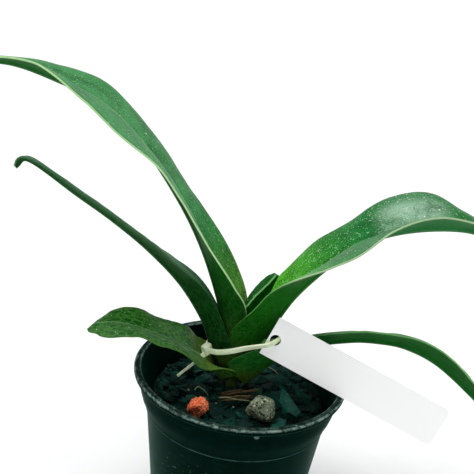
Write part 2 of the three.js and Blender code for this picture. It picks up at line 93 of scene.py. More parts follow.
def cubic(a: Number, b: Number, slope_a: Number, slope_b: Number, t: float) -> Number:
    """A cubic from a to b with the given slopes at its ends.

    Args:
        a: Number or vector at t = 0.
        b: Number or vector at t = 1.
        slope_a: Slope at a.
        slope_b: Slope at b.
        t: Place along the cubic, 0 to 1.

    Returns:
        The number or vector at t.
    """
    cube = (a - b) * 2 + slope_a + slope_b
    square = (b - a) * 3 - slope_a * 2 - slope_b
    return a + (slope_a + (square + cube * t) * t) * t


@dataclass(frozen=True)
class Values:
    """A smooth run of numbers, given at even steps from 0 to 1."""

    numbers: tuple[float, ...]

    def at(self, u: float) -> float:
        """The number at u."""
        last = len(self.numbers) - 1
        place = clamp(u) * last
        i = min(int(place), last - 1)
        p0, p1, p2, p3 = (self.numbers[int(clamp(i + k, 0, last))] for k in (-1, 0, 1, 2))
        return cubic(p1, p2, (p2 - p0) / 2, (p3 - p1) / 2, place - i)


class Route:
    """A smooth curve through points, read at even steps of its length."""

    STEPS = 400
    TINY = 1e-4

    def __init__(self, points: tuple[Triple, ...], closed: bool = False, centripetal: bool = False) -> None:
        """Keeps the points and measures the curve.

        Args:
            points: Places in millimetres.
            closed: Whether the curve comes round to its first point.
            centripetal: Whether close points pull the curve less.
        """
        self.points = [Vector(p) for p in points]
        self.closed = closed
        self.centripetal = centripetal
        self.lengths = [0.0]
        before = self.raw(0.0)
        for i in range(1, self.STEPS + 1):
            here = self.raw(i / self.STEPS)
            self.lengths.append(self.lengths[-1] + (here - before).length)
            before = here

    @property
    def length(self) -> float:
        """The curve's whole length in millimetres."""
        return self.lengths[-1]

    def knot(self, i: int) -> Vector:
        """The point with that number, carried on past the ends of an open curve."""
        points = self.points
        if self.closed:
            return points[i % len(points)]
        if i < 0:
            return points[0] * 2 - points[1]
        if i >= len(points):
            return points[-1] * 2 - points[-2]
        return points[i]

    def raw(self, t: float) -> Vector:
        """The place at t, where each stretch between two points takes an equal part."""
        spans = len(self.points) - (0 if self.closed else 1)
        i = min(int(t * spans), spans - 1)
        p0, p1, p2, p3 = (self.knot(i + k) for k in (-1, 0, 1, 2))
        slope_1, slope_2 = (p2 - p0) / 2, (p3 - p1) / 2
        if self.centripetal:
            d0, d1, d2 = (max((b - a).length, self.TINY) ** 0.5 for a, b in ((p0, p1), (p1, p2), (p2, p3)))
            slope_1 = ((p1 - p0) / d0 - (p2 - p0) / (d0 + d1) + (p2 - p1) / d1) * d1
            slope_2 = ((p2 - p1) / d1 - (p3 - p1) / (d1 + d2) + (p3 - p2) / d2) * d1
        return cubic(p1, p2, slope_1, slope_2, t * spans - i)

    def evened(self, u: float) -> float:
        """The t at which the given share of the length is reached."""
        wanted = clamp(u) * self.length
        low, high = 0, self.STEPS
        while high - low > 1:
            middle = (low + high) // 2
            low, high = (middle, high) if self.lengths[middle] <= wanted else (low, middle)
        span = self.lengths[high] - self.lengths[low]
        return (low + (wanted - self.lengths[low]) / max(span, 1e-9)) / self.STEPS

    def at(self, u: float) -> Vector:
        """The place at that share of the length."""
        return self.raw(self.evened(u))

    def heading(self, u: float) -> Vector:
        """The direction of the curve at that share of its length."""
        t = self.evened(u)
        return (self.raw(min(1.0, t + self.TINY)) - self.raw(max(0.0, t - self.TINY))).normalized()


# ---- shader nodes


def label(name: str) -> str:
    """A socket's name as its node shows it: base_reach is Base Reach."""
    return name.replace("_", " ").title()


class Net:
    """A node tree that is wired up from left to right."""

    def __init__(self, tree: NodeTree) -> None:
        """Keeps the tree to add nodes to."""
        self.tree = tree

    def add(self, kind: str, **settings: object) -> Node:
        """A new node of that kind, with its settings."""
        node = self.tree.nodes.new(kind)
        for name, value in settings.items():
            setattr(node, name, value)
        return node

    def feed(self, socket: NodeSocket, value: Feed) -> None:
        """Links a socket into an input, or sets the input's number, vector or colour.

        Args:
            socket: The input.
            value: A socket, a number, or a tuple.
        """
        if isinstance(value, NodeSocket):
            self.tree.links.new(value, socket)
        elif isinstance(value, tuple) and socket.type == "RGBA":
            socket.default_value = (*value[:3], 1.0)
        else:
            socket.default_value = value

    def maths(self, operation: str, a: Feed, b: Feed = 0.0, tidy: bool = False) -> NodeSocket:
        """A math node of two inputs; tidy keeps its result between 0 and 1."""
        node = self.add("ShaderNodeMath", operation=operation, use_clamp=tidy)
        self.feed(node.inputs[0], a)
        self.feed(node.inputs[1], b)
        return node.outputs[0]

    def plus(self, *values: Feed) -> NodeSocket:
        """The sum of the values."""
        return reduce(partial(self.maths, "ADD"), values)

    def times(self, *values: Feed) -> NodeSocket:
        """The product of the values."""
        return reduce(partial(self.maths, "MULTIPLY"), values)

    def most(self, *values: Feed) -> NodeSocket:
        """The greatest of the values."""
        return reduce(partial(self.maths, "MAXIMUM"), values)

    def minus(self, a: Feed, b: Feed) -> NodeSocket:
        """What is left of a without b."""
        return self.maths("SUBTRACT", a, b)

    def span(self, value: Feed, low: Feed, high: Feed, to_low: float = 0.0, to_high: float = 1.0) -> NodeSocket:
        """A smooth step of the value from low to high, given out between the other two."""
        node = self.add("ShaderNodeMapRange", interpolation_type="SMOOTHSTEP")
        for socket, number in zip(node.inputs, (value, low, high, to_low, to_high)):
            self.feed(socket, number)
        return node.outputs[0]

    def span_mm(self, value: NodeSocket, ends: Ends) -> NodeSocket:
        """A smooth step of a length in metres, between two ends in millimetres."""
        return self.span(value, ends[0] * MM, ends[1] * MM)

    def blend(self, share: Feed, a: Feed, b: Feed, mode: str = "MIX") -> NodeSocket:
        """Colour a blended with colour b by the share."""
        node = self.add("ShaderNodeMix", data_type="RGBA", blend_type=mode)
        self.feed(node.inputs[0], share)
        self.feed(node.inputs[6], a)
        self.feed(node.inputs[7], b)
        return node.outputs[2]

    def stretch(self, vector: NodeSocket, scale: Triple, turn: Triple = (0.0, 0.0, 0.0)) -> NodeSocket:
        """The vector turned, then scaled along each axis."""
        node = self.add("ShaderNodeMapping", vector_type="POINT")
        self.feed(node.inputs["Vector"], vector)
        node.inputs["Scale"].default_value = scale
        node.inputs["Rotation"].default_value = turn
        return node.outputs[0]

    def noise(self, vector: NodeSocket, scale: Feed, detail: float = 3.0, rough: float = 0.5,
              twist: float = 0.0) -> NodeSocket:
        """Cloudy noise between 0 and 1."""
        node = self.add("ShaderNodeTexNoise")
        for name, value in (("Vector", vector), ("Scale", scale), ("Detail", detail),
                            ("Roughness", rough), ("Distortion", twist)):
            self.feed(node.inputs[name], value)
        return node.outputs["Fac"]

    def cells(self, vector: NodeSocket, scale: Feed, feature: str = "F1") -> Node:
        """A Voronoi node of that feature."""
        node = self.add("ShaderNodeTexVoronoi", feature=feature)
        self.feed(node.inputs["Vector"], vector)
        self.feed(node.inputs["Scale"], scale)
        return node

    def grey(self, value: NodeSocket) -> NodeSocket:
        """The value as a grey colour."""
        node = self.add("ShaderNodeCombineColor")
        for socket in node.inputs:
            self.feed(socket, value)
        return node.outputs[0]

    def parts(self, vector: NodeSocket) -> tuple[NodeSocket, ...]:
        """The three numbers of a vector."""
        node = self.add("ShaderNodeSeparateXYZ")
        self.feed(node.inputs[0], vector)
        return tuple(node.outputs)

    def attribute(self, name: str, output: str = "Vector") -> NodeSocket:
        """What the mesh keeps under that name."""
        return self.add("ShaderNodeAttribute", attribute_name=name).outputs[output]

    def group(self, tree: NodeTree, **values: Feed) -> Node:
        """A group node of that tree, fed through its named inputs."""
        node = self.add("ShaderNodeGroup")
        node.node_tree = tree
        for name, value in values.items():
            self.feed(node.inputs[label(name)], value)
        return node

    def specks(self, vector: NodeSocket, scale: float, size: float, share: Feed) -> NodeSocket:
        """The mask of scattered specks.

        Args:
            vector: Where on the surface.
            scale: How densely the specks stand.
            size: Size of a speck, as a share of the room between specks.
            share: How many of the places hold one.

        Returns:
            The mask, 1 on a speck.
        """
        return self.group(speck_group(), vector=vector, scale=scale, size=size, share=share).outputs["Mask"]


def group_net(name: str, inputs: dict[str, Feed | None],
              outputs: tuple[str, ...]) -> tuple[Net, dict[str, NodeSocket], dict[str, NodeSocket]]:
    """A new node group with its sockets.

    Args:
        name: The group's name.
        inputs: Value of each input. None makes a vector, a tuple a colour.
        outputs: Name of each output. The one named color is a colour.

    Returns:
        The group's net, and the sockets of its inputs and outputs by name.
    """
    tree = bpy.data.node_groups.new(name, "ShaderNodeTree")
    for key, value in inputs.items():
        kind = "Vector" if value is None else "Color" if isinstance(value, tuple) else "Float"
        socket = tree.interface.new_socket(label(key), in_out="INPUT", socket_type=f"NodeSocket{kind}")
        if value is not None:
            socket.default_value = (*value, 1.0) if kind == "Color" else value
    for key in outputs:
        kind = "Color" if key == "color" else "Float"
        tree.interface.new_socket(label(key), in_out="OUTPUT", socket_type=f"NodeSocket{kind}")
    given, out = tree.nodes.new("NodeGroupInput"), tree.nodes.new("NodeGroupOutput")
    return (Net(tree), {key: given.outputs[label(key)] for key in inputs},
            {key: out.inputs[label(key)] for key in outputs})


@lru_cache(maxsize=None)
def grain_group() -> NodeTree:
    """Uneven ground of two sizes of cloud: a tone for colour and a height for relief."""
    finer = 6.5
    net, given, out = group_net("uneven_grain", {"vector": None, "scale": 100.0, "fine_share": 0.4},
                                ("tone", "height"))
    vector, scale, fine_share = given.values()
    broad = net.noise(vector, scale, 4.0, 0.55)
    fine = net.noise(vector, net.times(scale, finer), 3.0, 0.6)
    total = net.plus(net.times(broad, net.minus(1.0, fine_share)), net.times(fine, fine_share))
    net.feed(out["tone"], net.span(total, 0.3, 0.7))
    net.feed(out["height"], total)
    return net.tree


@lru_cache(maxsize=None)
def speck_group() -> NodeTree:
    """Scattered round specks, such as dust, drops or mineral grains."""
    least_size, soft_from = 0.35, 0.55
    net, given, out = group_net("scattered_specks", {"vector": None, "scale": 600.0, "size": 0.25, "share": 0.2},
                                ("mask",))
    cell = net.cells(given["vector"], given["scale"])
    chance = net.add("ShaderNodeSeparateColor")
    net.feed(chance.inputs[0], cell.outputs["Color"])
    size = net.times(given["size"], net.plus(least_size, chance.outputs[1]))
    dot = net.span(net.maths("DIVIDE", cell.outputs["Distance"], size), 1.0, soft_from)
    kept = net.maths("LESS_THAN", chance.outputs[0], given["share"])
    net.feed(out["mask"], net.times(dot, kept))
    return net.tree


class LeafSkin:
    """The leaves' node group: two faces, a paler base, ribs, net, painted sheen and shade, pale lines and specks.

    The mesh keeps where each point lies: leaf_place holds the shares along and across and whether
    the face is the inner one, and leaf_run the distances along and across in metres.
    """

    RIBS: Triple = (14.0, 620.0, 40.0)
    FINE_RIBS: Triple = (60.0, 2200.0, 40.0)
    LATTICE: Triple = (250.0, 560.0, 40.0)
    BLOTCHES: Triple = (160.0, 330.0, 40.0)
    CLOUD_SCALE = 90.0
    CELL_SCALE = 1300.0
    WARP_SCALE = 420.0
    WARP = 1.6
    DUST_SCALE, DUST_SIZE, DUST_WEIGHT = 1150.0, 0.34, 0.55
    DROP_SCALE, DROP_SIZE, DROP_SHARE = 300.0, 0.17, 0.3
    # painted sheen: the pale grey-green that stands in for highlights on the inner face
    BLOOM_TINT: Colour = (0.34, 0.52, 0.38)
    CREASE_TINT: Colour = (0.26, 0.5, 0.24)
    BACK_EDGE_TINTS: tuple[Colour, Colour] = ((0.12, 0.2, 0.1), (0.16, 0.12, 0.11))
    SPECK_TINT: Colour = (0.7, 0.82, 0.68)

    def __init__(self) -> None:
        """Lays the patterns that more than one part of the skin uses."""
        inputs = {item.name: item.default for item in fields(LeafFinish)}
        self.net, self.given, self.out = group_net("leaf_skin", inputs, ("color", "roughness", "height"))
        net = self.net
        self.along, self.across, self.inner = net.parts(net.attribute("leaf_place"))
        self.run = net.attribute("leaf_run")
        self.outward = net.maths("ABSOLUTE", self.across)
        self.rib = net.noise(net.stretch(self.run, self.RIBS), 1.0, 2.0, 0.6)
        self.fine_rib = net.noise(net.stretch(self.run, self.FINE_RIBS), 1.0, 2.0, 0.6)
        self.cloud = net.noise(self.run, self.CLOUD_SCALE, 4.0, 0.6, 0.6)
        self.cell = net.noise(self.run, self.CELL_SCALE, 2.0, 0.6)

    def ground(self) -> NodeSocket:
        """The plain greens of both faces, with the paler base and the foot, whose colour is partly the sheath's
        own olive-brown and partly painted shade.
        """
        net, given, along, inner = self.net, self.given, self.along, self.inner
        fade = net.times(net.span(along, 0.35, 0.62), given["under_fade"])
        under = net.blend(fade, given["under"], given["upper"])
        face = net.blend(inner, under, given["upper"])
        low = net.maths("SUBTRACT", 1.0, net.maths("DIVIDE", along, given["base_reach"]), tidy=True)
        based = net.span(net.times(low, net.span(inner, 0.0, 1.0, 0.12, 1.0)), 0.0, 0.75)
        green = net.blend(based, face, given["base"])
        # the foot: the sheath's own olive-brown, darkened as painted shade low in the crown
        return net.blend(net.times(net.span(along, 0.13, 0.04), 0.85), green, given["foot"])

    def mottled(self, green: NodeSocket) -> NodeSocket:
        """The green with ribs, clouds and grain, calmer on the outer face, and with painted shade darkening the
        outer face low down.
        """
        net, inner = self.net, self.inner
        grain = net.times(net.span(self.cell, 0.36, 0.64, -1.0, 1.0), self.given["grain"])
        tone = net.plus(net.span(self.rib, 0.25, 0.75, 0.74, 1.2), grain,
                        net.span(self.cloud, 0.3, 0.7, -0.2, 0.24))
        tone = net.minus(tone, net.span(self.fine_rib, 0.5, 0.8, 0.0, 0.18))
        calm = net.times(net.minus(tone, 1.0), net.span(inner, 0.0, 1.0, 0.35, 1.0))
        # painted shade: the outer face is darkened towards the base, where the leaves crowd together in the crown
        depth = net.times(net.span(self.along, 0.26, 0.12), net.span(inner, 0.8, 0.2, 0.0, 0.35))
        tone = net.minus(net.plus(calm, 1.0), depth)
        return net.blend(1.0, green, net.grey(tone), "MULTIPLY")

    def lines(self) -> NodeSocket:
        """How much the pale net and its blotches show."""
        net = self.net
        warp = net.noise(self.run, self.WARP_SCALE, 2.0, 0.5)
        warped = net.add("ShaderNodeVectorMath", operation="ADD")
        net.feed(warped.inputs[0], net.stretch(self.run, self.LATTICE))
        net.feed(warped.inputs[1], net.grey(net.times(warp, self.WARP)))
        lattice = net.cells(warped.outputs[0], 1.0, "DISTANCE_TO_EDGE").outputs["Distance"]
        blotch = net.noise(net.stretch(self.run, self.BLOTCHES), 1.0, 3.0, 0.62, 1.0)
        lines = net.most(net.span(lattice, 0.2, 0.03), net.span(blotch, 0.5, 0.66, 0.0, 0.6))
        return net.times(lines, self.given["net"])

    def bloom(self) -> NodeSocket:
        """How much painted sheen pales the inner face: grey painted highlights in a band along it, and a painted
        highlight on its front half.
        """
        net, given = self.net, self.given
        away = net.maths("ABSOLUTE", net.minus(self.along, given["sheen_centre"]))
        near = net.span(net.maths("DIVIDE", away, given["sheen_reach"]), 1.0, 0.25)
        bloom = net.times(net.span(self.cloud, 0.15, 0.58), net.times(near, given["bloom"]),
                          net.span(self.cell, 0.3, 0.6, 0.6, 1.0), net.span(self.outward, 0.9, 0.5, 0.2, 1.0))
        # painted highlight on the front half of the inner face
        front = net.times(net.span(self.across, 0.03, -0.03), given["painted_front_sheen"])
        return net.times(net.most(bloom, front), self.inner)

    def lined(self, green: NodeSocket) -> NodeSocket:
        """The green with its pale crease and margins."""
        net, start = self.net, self.given["edge_start"]
        crease = net.times(net.span(self.outward, 0.045, 0.01), net.span(self.inner, 0.2, 0.8, 0.15, 0.5))
        green = net.blend(crease, green, self.CREASE_TINT)
        back_edge = net.blend(net.span(self.cloud, 0.4, 0.6), *self.BACK_EDGE_TINTS)
        tint = net.blend(net.span(self.across, 0.5, -0.5), back_edge, self.given["edge"])
        seen = net.span(self.along, start, net.plus(start, 0.12), 0.03, 0.85)
        return net.blend(net.times(net.span(self.outward, 0.972, 0.994), seen), green, tint)

    def specks(self) -> NodeSocket:
        """Fine dust and dried drops, mostly on the inner face."""
        net, share = self.net, self.given["specks"]
        dust = net.specks(self.run, self.DUST_SCALE, self.DUST_SIZE, share)
        drops = net.specks(self.run, self.DROP_SCALE, self.DROP_SIZE, net.times(share, self.DROP_SHARE))
        both = net.most(net.times(dust, self.DUST_WEIGHT), drops)
        return net.times(both, net.span(self.inner, 0.2, 0.8, 0.05, 0.9))

    def finish(self) -> NodeTree:
        """Feeds the group's outputs, and gives the group."""
        net = self.net
        lines, pale, specks = self.lines(), self.bloom(), self.specks()
        green = net.blend(lines, self.mottled(self.ground()), self.given["net_colour"])
        # painted sheen: the inner face is paled where its highlights fall
        green = self.lined(net.blend(pale, green, self.BLOOM_TINT))
        net.feed(self.out["color"], net.blend(specks, green, self.SPECK_TINT))
        rough = net.plus(net.span(self.cell, 0.3, 0.7, 0.32, 0.46), net.times(pale, 0.2),
                         net.span(self.inner, 0.8, 0.2, 0.0, 0.12), net.times(specks, 0.3))
        net.feed(self.out["roughness"], rough)
        height = net.plus(net.times(self.rib, 0.5), net.times(self.cell, 0.16), net.times(self.fine_rib, 0.12))
        height = net.minus(height, net.times(lines, 0.2))
        net.feed(self.out["height"], net.plus(height, net.times(specks, 0.2)))
        return net.tree


@lru_cache(maxsize=None)
def leaf_group() -> NodeTree:
    """The leaves' node group, built once."""
    return LeafSkin().finish()


class Skin:
    """A material under way: its Principled shader and its node net."""

    def __init__(self, name: str, specular: float, **inputs: Feed) -> None:
        """Starts the material.

        Args:
            name: The material's name.
            specular: Specular level, 0.5 for most plastics.
            **inputs: Other constant inputs of the shader.
        """
        self.material = bpy.data.materials.new(name)
        self.material.use_nodes = True
        tree = self.material.node_tree
        tree.nodes.clear()
        self.net = Net(tree)
        self.shader = self.net.add("ShaderNodeBsdfPrincipled")
        output = self.net.add("ShaderNodeOutputMaterial")
        tree.links.new(self.shader.outputs[0], output.inputs["Surface"])
        self.shader.inputs["Specular IOR Level"].default_value = specular
        for key, value in inputs.items():
            self.net.feed(self.shader.inputs[label(key)], value)
        self.object_place = self.net.add("ShaderNodeTexCoord").outputs["Object"]

    def dress(self, colour: Feed, roughness: Feed, height: NodeSocket | None = None, relief_mm: float = 0.1,
              strength: float = 0.6) -> Material:
        """Links colour, roughness and relief to the shader.

        Args:
            colour: Colour socket or tuple.
            roughness: Roughness socket or number.
            height: Height socket for the bump, if there is any relief.
            relief_mm: How high the relief stands in millimetres.
            strength: Bump strength.

        Returns:
            The finished material.
        """
        self.net.feed(self.shader.inputs["Base Color"], colour)
        self.net.feed(self.shader.inputs["Roughness"], roughness)
        if height is not None:
            bump = self.net.add("ShaderNodeBump")
            bump.inputs["Strength"].default_value = strength
            bump.inputs["Distance"].default_value = relief_mm * MM
            self.net.feed(bump.inputs["Height"], height)
            self.net.feed(self.shader.inputs["Normal"], bump.outputs[0])
        return self.material


# ---- finishes


@dataclass(frozen=True)
class LeafFinish:
    """Colours, markings and painted sheen and shade of one leaf's skin, which are the inputs of the leaves' node
    group.
    """

    upper: Colour = (0.03, 0.2, 0.04)
    under: Colour = (0.0015, 0.062, 0.004)
    base: Colour = (0.1, 0.36, 0.03)
    # the foot colour is partly the sheath's olive-brown and partly painted shade at the base
    foot: Colour = (0.045, 0.085, 0.006)
    net_colour: Colour = (0.06, 0.24, 0.04)
    edge: Colour = (0.2, 0.48, 0.16)
    under_fade: float = 0.15
    edge_start: float = 0.25
    grain: float = 0.34
    base_reach: float = 0.3
    net: float = 0.12
    # The next four set the painted sheen: how strong the grey painted highlights on the inner face are, where
    # along the leaf they centre, how far they reach, and a painted highlight on its front half.
    bloom: float = 0.3
    sheen_centre: float = 0.6
    sheen_reach: float = 0.3
    painted_front_sheen: float = 0.15
    specks: float = 0.2

    def material(self, name: str) -> Material:
        """The leaf's material."""
        skin = Skin(name, specular=0.03, specular_tint=(0.6, 1.0, 0.7))
        leaf = skin.net.group(leaf_group(), **vars(self))
        return skin.dress(leaf.outputs["Color"], leaf.outputs["Roughness"], leaf.outputs["Height"], 0.22, 0.5)


@dataclass(frozen=True)
class PotFinish:
    """Dark green moulded plastic with pale worn lines on its rim, dust low on its wall and a painted highlight on
    the ledge under its collar.
    """

    deep: Colour = (0.0002, 0.0045, 0.003)
    light: Colour = (0.0005, 0.0085, 0.0058)
    scuffed: Colour = (0.012, 0.045, 0.033)
    worn: Colour = (0.3, 0.44, 0.38)
    dusty: Colour = (0.2, 0.27, 0.23)
    # painted highlight: the pale band where the body meets the collar, standing in for light on that step
    ledge: Colour = (0.07, 0.16, 0.13)
    sheen: Colour = (0.12, 0.75, 0.52)
    outer_line_mm: Ends = (52.9, 53.6)
    inner_line_mm: Ends = (51.5, 51.0)
    line_foot_mm: Ends = (93.6, 94.5)
    frost_foot_mm: Ends = (92.5, 94.5)
    ledge_foot_mm: Ends = (72.2, 72.7)
    ledge_top_mm: Ends = (73.8, 73.1)
    dust_top_mm: Ends = (72.0, 50.0)
    nub: Triple = (9.6, -51.0, 90.8)
    nub_edge_mm: Ends = (1.8, 1.0)
    nub_share: float = 0.35

    def wear(self, net: Net, place: NodeSocket, worn: NodeSocket) -> NodeSocket:
        """Where the rim's lines and frost show, a pale tint over the rim's top, and the drip under it.

        Args:
            net: The material's net.
            place: The place on the object.
            worn: Uneven noise along the rim.

        Returns:
            The share of pale colour.
        """
        x, y, height = net.parts(place)
        radius = net.maths("SQRT", net.plus(net.times(x, x), net.times(y, y)))
        rim = net.span_mm(height, self.line_foot_mm)
        line = net.most(net.span_mm(radius, self.outer_line_mm), net.span_mm(radius, self.inner_line_mm))
        line = net.times(line, rim, net.span(worn, 0.4, 0.6, 0.06, 0.6))
        frost = net.times(net.specks(place, 850.0, 0.42, 0.34), net.span_mm(height, self.frost_foot_mm),
                          net.span(worn, 0.46, 0.6, 0.05, 0.6))
        # a pale tint over the top of the rim
        pale_rim_top = net.times(rim, net.span(worn, 0.4, 0.66, 0.01, 0.11))
        drip = net.add("ShaderNodeVectorMath", operation="DISTANCE")
        net.feed(drip.inputs[0], place)
        drip.inputs[1].default_value = tuple(mm * MM for mm in self.nub)
        drop = net.times(net.span_mm(drip.outputs["Value"], self.nub_edge_mm), self.nub_share)
        return net.most(line, frost, pale_rim_top, drop)

    def material(self, name: str) -> Material:
        """The pot's material."""
        skin = Skin(name, specular=0.004, sheen_weight=0.1, sheen_roughness=0.35, sheen_tint=self.sheen)
        net, place = skin.net, skin.object_place
        height = net.parts(place)[2]
        grain = net.group(grain_group(), vector=place, scale=110.0, fine_share=0.45)
        colour = net.blend(grain.outputs["Tone"], self.deep, self.light)
        scuffs = net.noise(net.stretch(place, (60.0, 60.0, 900.0)), 1.0, 4.0, 0.65)
        colour = net.blend(net.times(net.span(scuffs, 0.56, 0.76), 0.22), colour, self.scuffed)

        patches = net.span(net.noise(place, 62.0, 3.0, 0.6), 0.5, 0.62)
        dust = net.times(net.specks(place, 900.0, 0.36, 0.22), patches, net.span_mm(height, self.dust_top_mm), 0.5)
        colour = net.blend(dust, colour, self.dusty)
        uneven = net.noise(net.stretch(place, (260.0, 260.0, 500.0)), 1.0, 5.0, 0.7, 0.6)
        # painted highlight along the step where the body meets the collar
        ledge = net.times(net.span_mm(height, self.ledge_foot_mm), net.span_mm(height, self.ledge_top_mm),
                          net.span(uneven, 0.35, 0.6, 0.1, 0.5))
        colour = net.blend(ledge, colour, self.ledge)
        worn = self.wear(net, place, uneven)
        rough = net.plus(net.span(grain.outputs["Height"], 0.3, 0.7, 0.3, 0.42), net.times(worn, 0.3))
        relief = net.plus(net.times(grain.outputs["Height"], 0.35), net.times(worn, 0.4))
        return skin.dress(net.blend(worn, colour, self.worn), rough, relief, 0.14, 0.5)


@dataclass(frozen=True)
class BarkFinish:
    """Bark: layered fibres between two colours, with its own tone for each chip."""

    dark: Colour = (0.0006, 0.011, 0.008)
    light: Colour = (0.011, 0.095, 0.066)
    pale: Colour = (0.2, 0.24, 0.13)
    salt: Colour = (0.2, 0.26, 0.2)
    fibre: Triple = (260.0, 1500.0, 1500.0)
    turn: Triple = (0.0, 0.0, 0.0)
    tones: bool = True

    def material(self, name: str) -> Material:
        """The bark's material."""
        skin = Skin(name, specular=0.1)
        net, place = skin.net, skin.object_place
        fibre = net.noise(net.stretch(place, self.fibre, self.turn), 1.0, 5.0, 0.65, 0.4)
        grain = net.group(grain_group(), vector=place, scale=230.0, fine_share=0.5)
        share = net.plus(net.times(net.span(fibre, 0.3, 0.72), 0.6), net.times(grain.outputs["Tone"], 0.4))
        tone = net.attribute("chip_tone", "Fac")
        if self.tones:
            share = net.times(share, net.span(tone, 0.0, 1.0, 0.12, 1.15))
        colour = net.blend(share, self.dark, self.light)
        colour = net.blend(net.times(net.specks(place, 800.0, 0.3, 0.05), 0.35), colour, self.salt)
        if self.tones:
            colour = net.blend(net.span(tone, 1.2, 1.8), colour, self.pale)
        relief = net.plus(fibre, net.times(grain.outputs["Height"], 0.7))
        return skin.dress(colour, net.span(fibre, 0.3, 0.7, 0.4, 0.75), relief, 0.5, 0.8)


class StoneKind(Enum):
    """How a stone's surface is marked."""

    POROUS = "porous"
    SPECKLED = "speckled"
    SPLIT = "split"


@dataclass(frozen=True)
class StoneFinish:
    """A stone's two ground colours, the colours of its marks and pale grains, and its kind."""

    kind: StoneKind
    dark: Colour
    light: Colour
    marks: Colour
    pale: Colour = (0.56, 0.58, 0.42)

    def material(self, name: str) -> Material:
        """The stone's material."""
        skin = Skin(name, specular=0.2)
        net, place = skin.net, skin.object_place
        grain = net.group(grain_group(), vector=place, scale=260.0, fine_share=0.5)
        ground, rise = net.blend(grain.outputs["Tone"], self.dark, self.light), grain.outputs["Height"]
        if self.kind is StoneKind.POROUS:
            pores = net.span(net.cells(place, 1150.0).outputs["Distance"], 0.42, 0.2)
            colour = net.blend(net.times(pores, 0.75), ground, self.marks)
            return skin.dress(colour, 0.9, net.minus(rise, net.times(pores, 0.7)), 0.7, 0.9)
        if self.kind is StoneKind.SPECKLED:
            dots = net.specks(place, 820.0, 0.55, 0.62)
            colour = net.blend(net.times(dots, 0.96), ground, self.marks)
            turned = net.stretch(place, (1.0, 1.0, 1.0), (0.7, 0.3, 0.2))
            colour = net.blend(net.times(net.specks(turned, 760.0, 0.5, 0.4), 0.85), colour, self.pale)
            return skin.dress(colour, 0.8, net.plus(rise, net.times(dots, -0.3)), 0.3, 0.7)
        layers = net.noise(net.stretch(place, (120.0, 120.0, 1100.0), (0.75, 0.15, 0.5)), 1.0, 4.0, 0.6)
        colour = net.blend(net.times(net.span(layers, 0.5, 0.7), 0.5), ground, self.marks)
        rough = net.span(layers, 0.3, 0.7, 0.4, 0.65)
        return skin.dress(colour, rough, net.plus(net.times(layers, 0.6), rise), 0.3, 0.7)


@dataclass(frozen=True)
class PlasticFinish:
    """Plain moulded plastic with a faint grain and soiling."""

    colour: Colour
    soiled: Colour
    roughness: float
    soil_share: float
    scale: float
    through: float = 0.0

    def material(self, name: str) -> Material:
        """The plastic's material."""
        skin = Skin(name, specular=0.5, subsurface_weight=self.through, subsurface_scale=1.5 * MM)
        net, place = skin.net, skin.object_place
        grain = net.group(grain_group(), vector=place, scale=self.scale, fine_share=0.4)
        stain = net.span(net.noise(place, self.scale * 0.5, 5.0, 0.65), 0.45, 0.75)
        colour = net.blend(net.times(stain, self.soil_share), self.colour, self.soiled)
        rough = net.span(grain.outputs["Height"], 0.3, 0.7, self.roughness - 0.08, self.roughness + 0.1)
        return skin.dress(colour, rough, grain.outputs["Height"], 0.05, 0.4)


# ---- pieces


def linked(name: str, data: bpy.types.ID) -> Object:
    """A new object of that data in the scene."""
    thing = bpy.data.objects.new(name, data)
    bpy.context.scene.collection.objects.link(thing)
    return thing


def meshed(name: str, bm: BMesh) -> Object:
    """A new object of that mesh, which is freed."""
    mesh = bpy.data.meshes.new(name)
    bm.to_mesh(mesh)
    bm.free()
    return linked(name, mesh)


def dressed(name: str, bm: BMesh, material: Material, node: str, slot: str, flat: bool = False) -> Object:
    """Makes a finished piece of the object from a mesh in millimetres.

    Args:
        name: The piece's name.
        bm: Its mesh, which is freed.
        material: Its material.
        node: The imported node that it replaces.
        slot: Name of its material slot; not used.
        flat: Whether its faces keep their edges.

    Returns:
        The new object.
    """
    bmesh.ops.scale(bm, vec=(MM, MM, MM), verts=bm.verts)
    for face in bm.faces:
        face.smooth = not flat
    piece = meshed(name, bm)
    piece.data.materials.append(material)
    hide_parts(node)
    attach(piece, "root")
    LOG.info("%s: %d faces", name, len(piece.data.polygons))
    return piece


def from_node(node: str) -> BMesh:
    """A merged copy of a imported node's mesh, in millimetres."""
    bm = bmesh.new()
    bm.from_mesh(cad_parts[node].data)
    bmesh.ops.scale(bm, vec=(1 / MM,) * 3, verts=bm.verts)
    bmesh.ops.remove_doubles(bm, verts=bm.verts, dist=1e-3)
    return bm


def spun(outline: list[Ends] | tuple[Ends, ...], steps: int, merge: float = 1e-3) -> BMesh:
    """An outline turned once about the Z axis.

    Args:
        outline: Radius and height of each point.
        steps: Faces round the axis.
        merge: How near points are made one.

    Returns:
        The new mesh.
    """
    bm = bmesh.new()
    verts = [bm.verts.new((radius, 0, z)) for radius, z in outline]
    edges = [bm.edges.new(pair) for pair in zip(verts, verts[1:])]
    bmesh.ops.spin(bm, geom=verts + edges, cent=(0, 0, 0), axis=(0, 0, 1), angle=math.tau, steps=steps,
                   use_merge=True)
    bmesh.ops.remove_doubles(bm, verts=bm.verts, dist=merge)
    bmesh.ops.recalc_face_normals(bm, faces=bm.faces)
    return bm


def shaded(bm: BMesh, layer: Layer, tone: float) -> BMesh:
    """The mesh with one tone kept at all its points."""
    for vert in bm.verts:
        vert[layer] = tone
    return bm


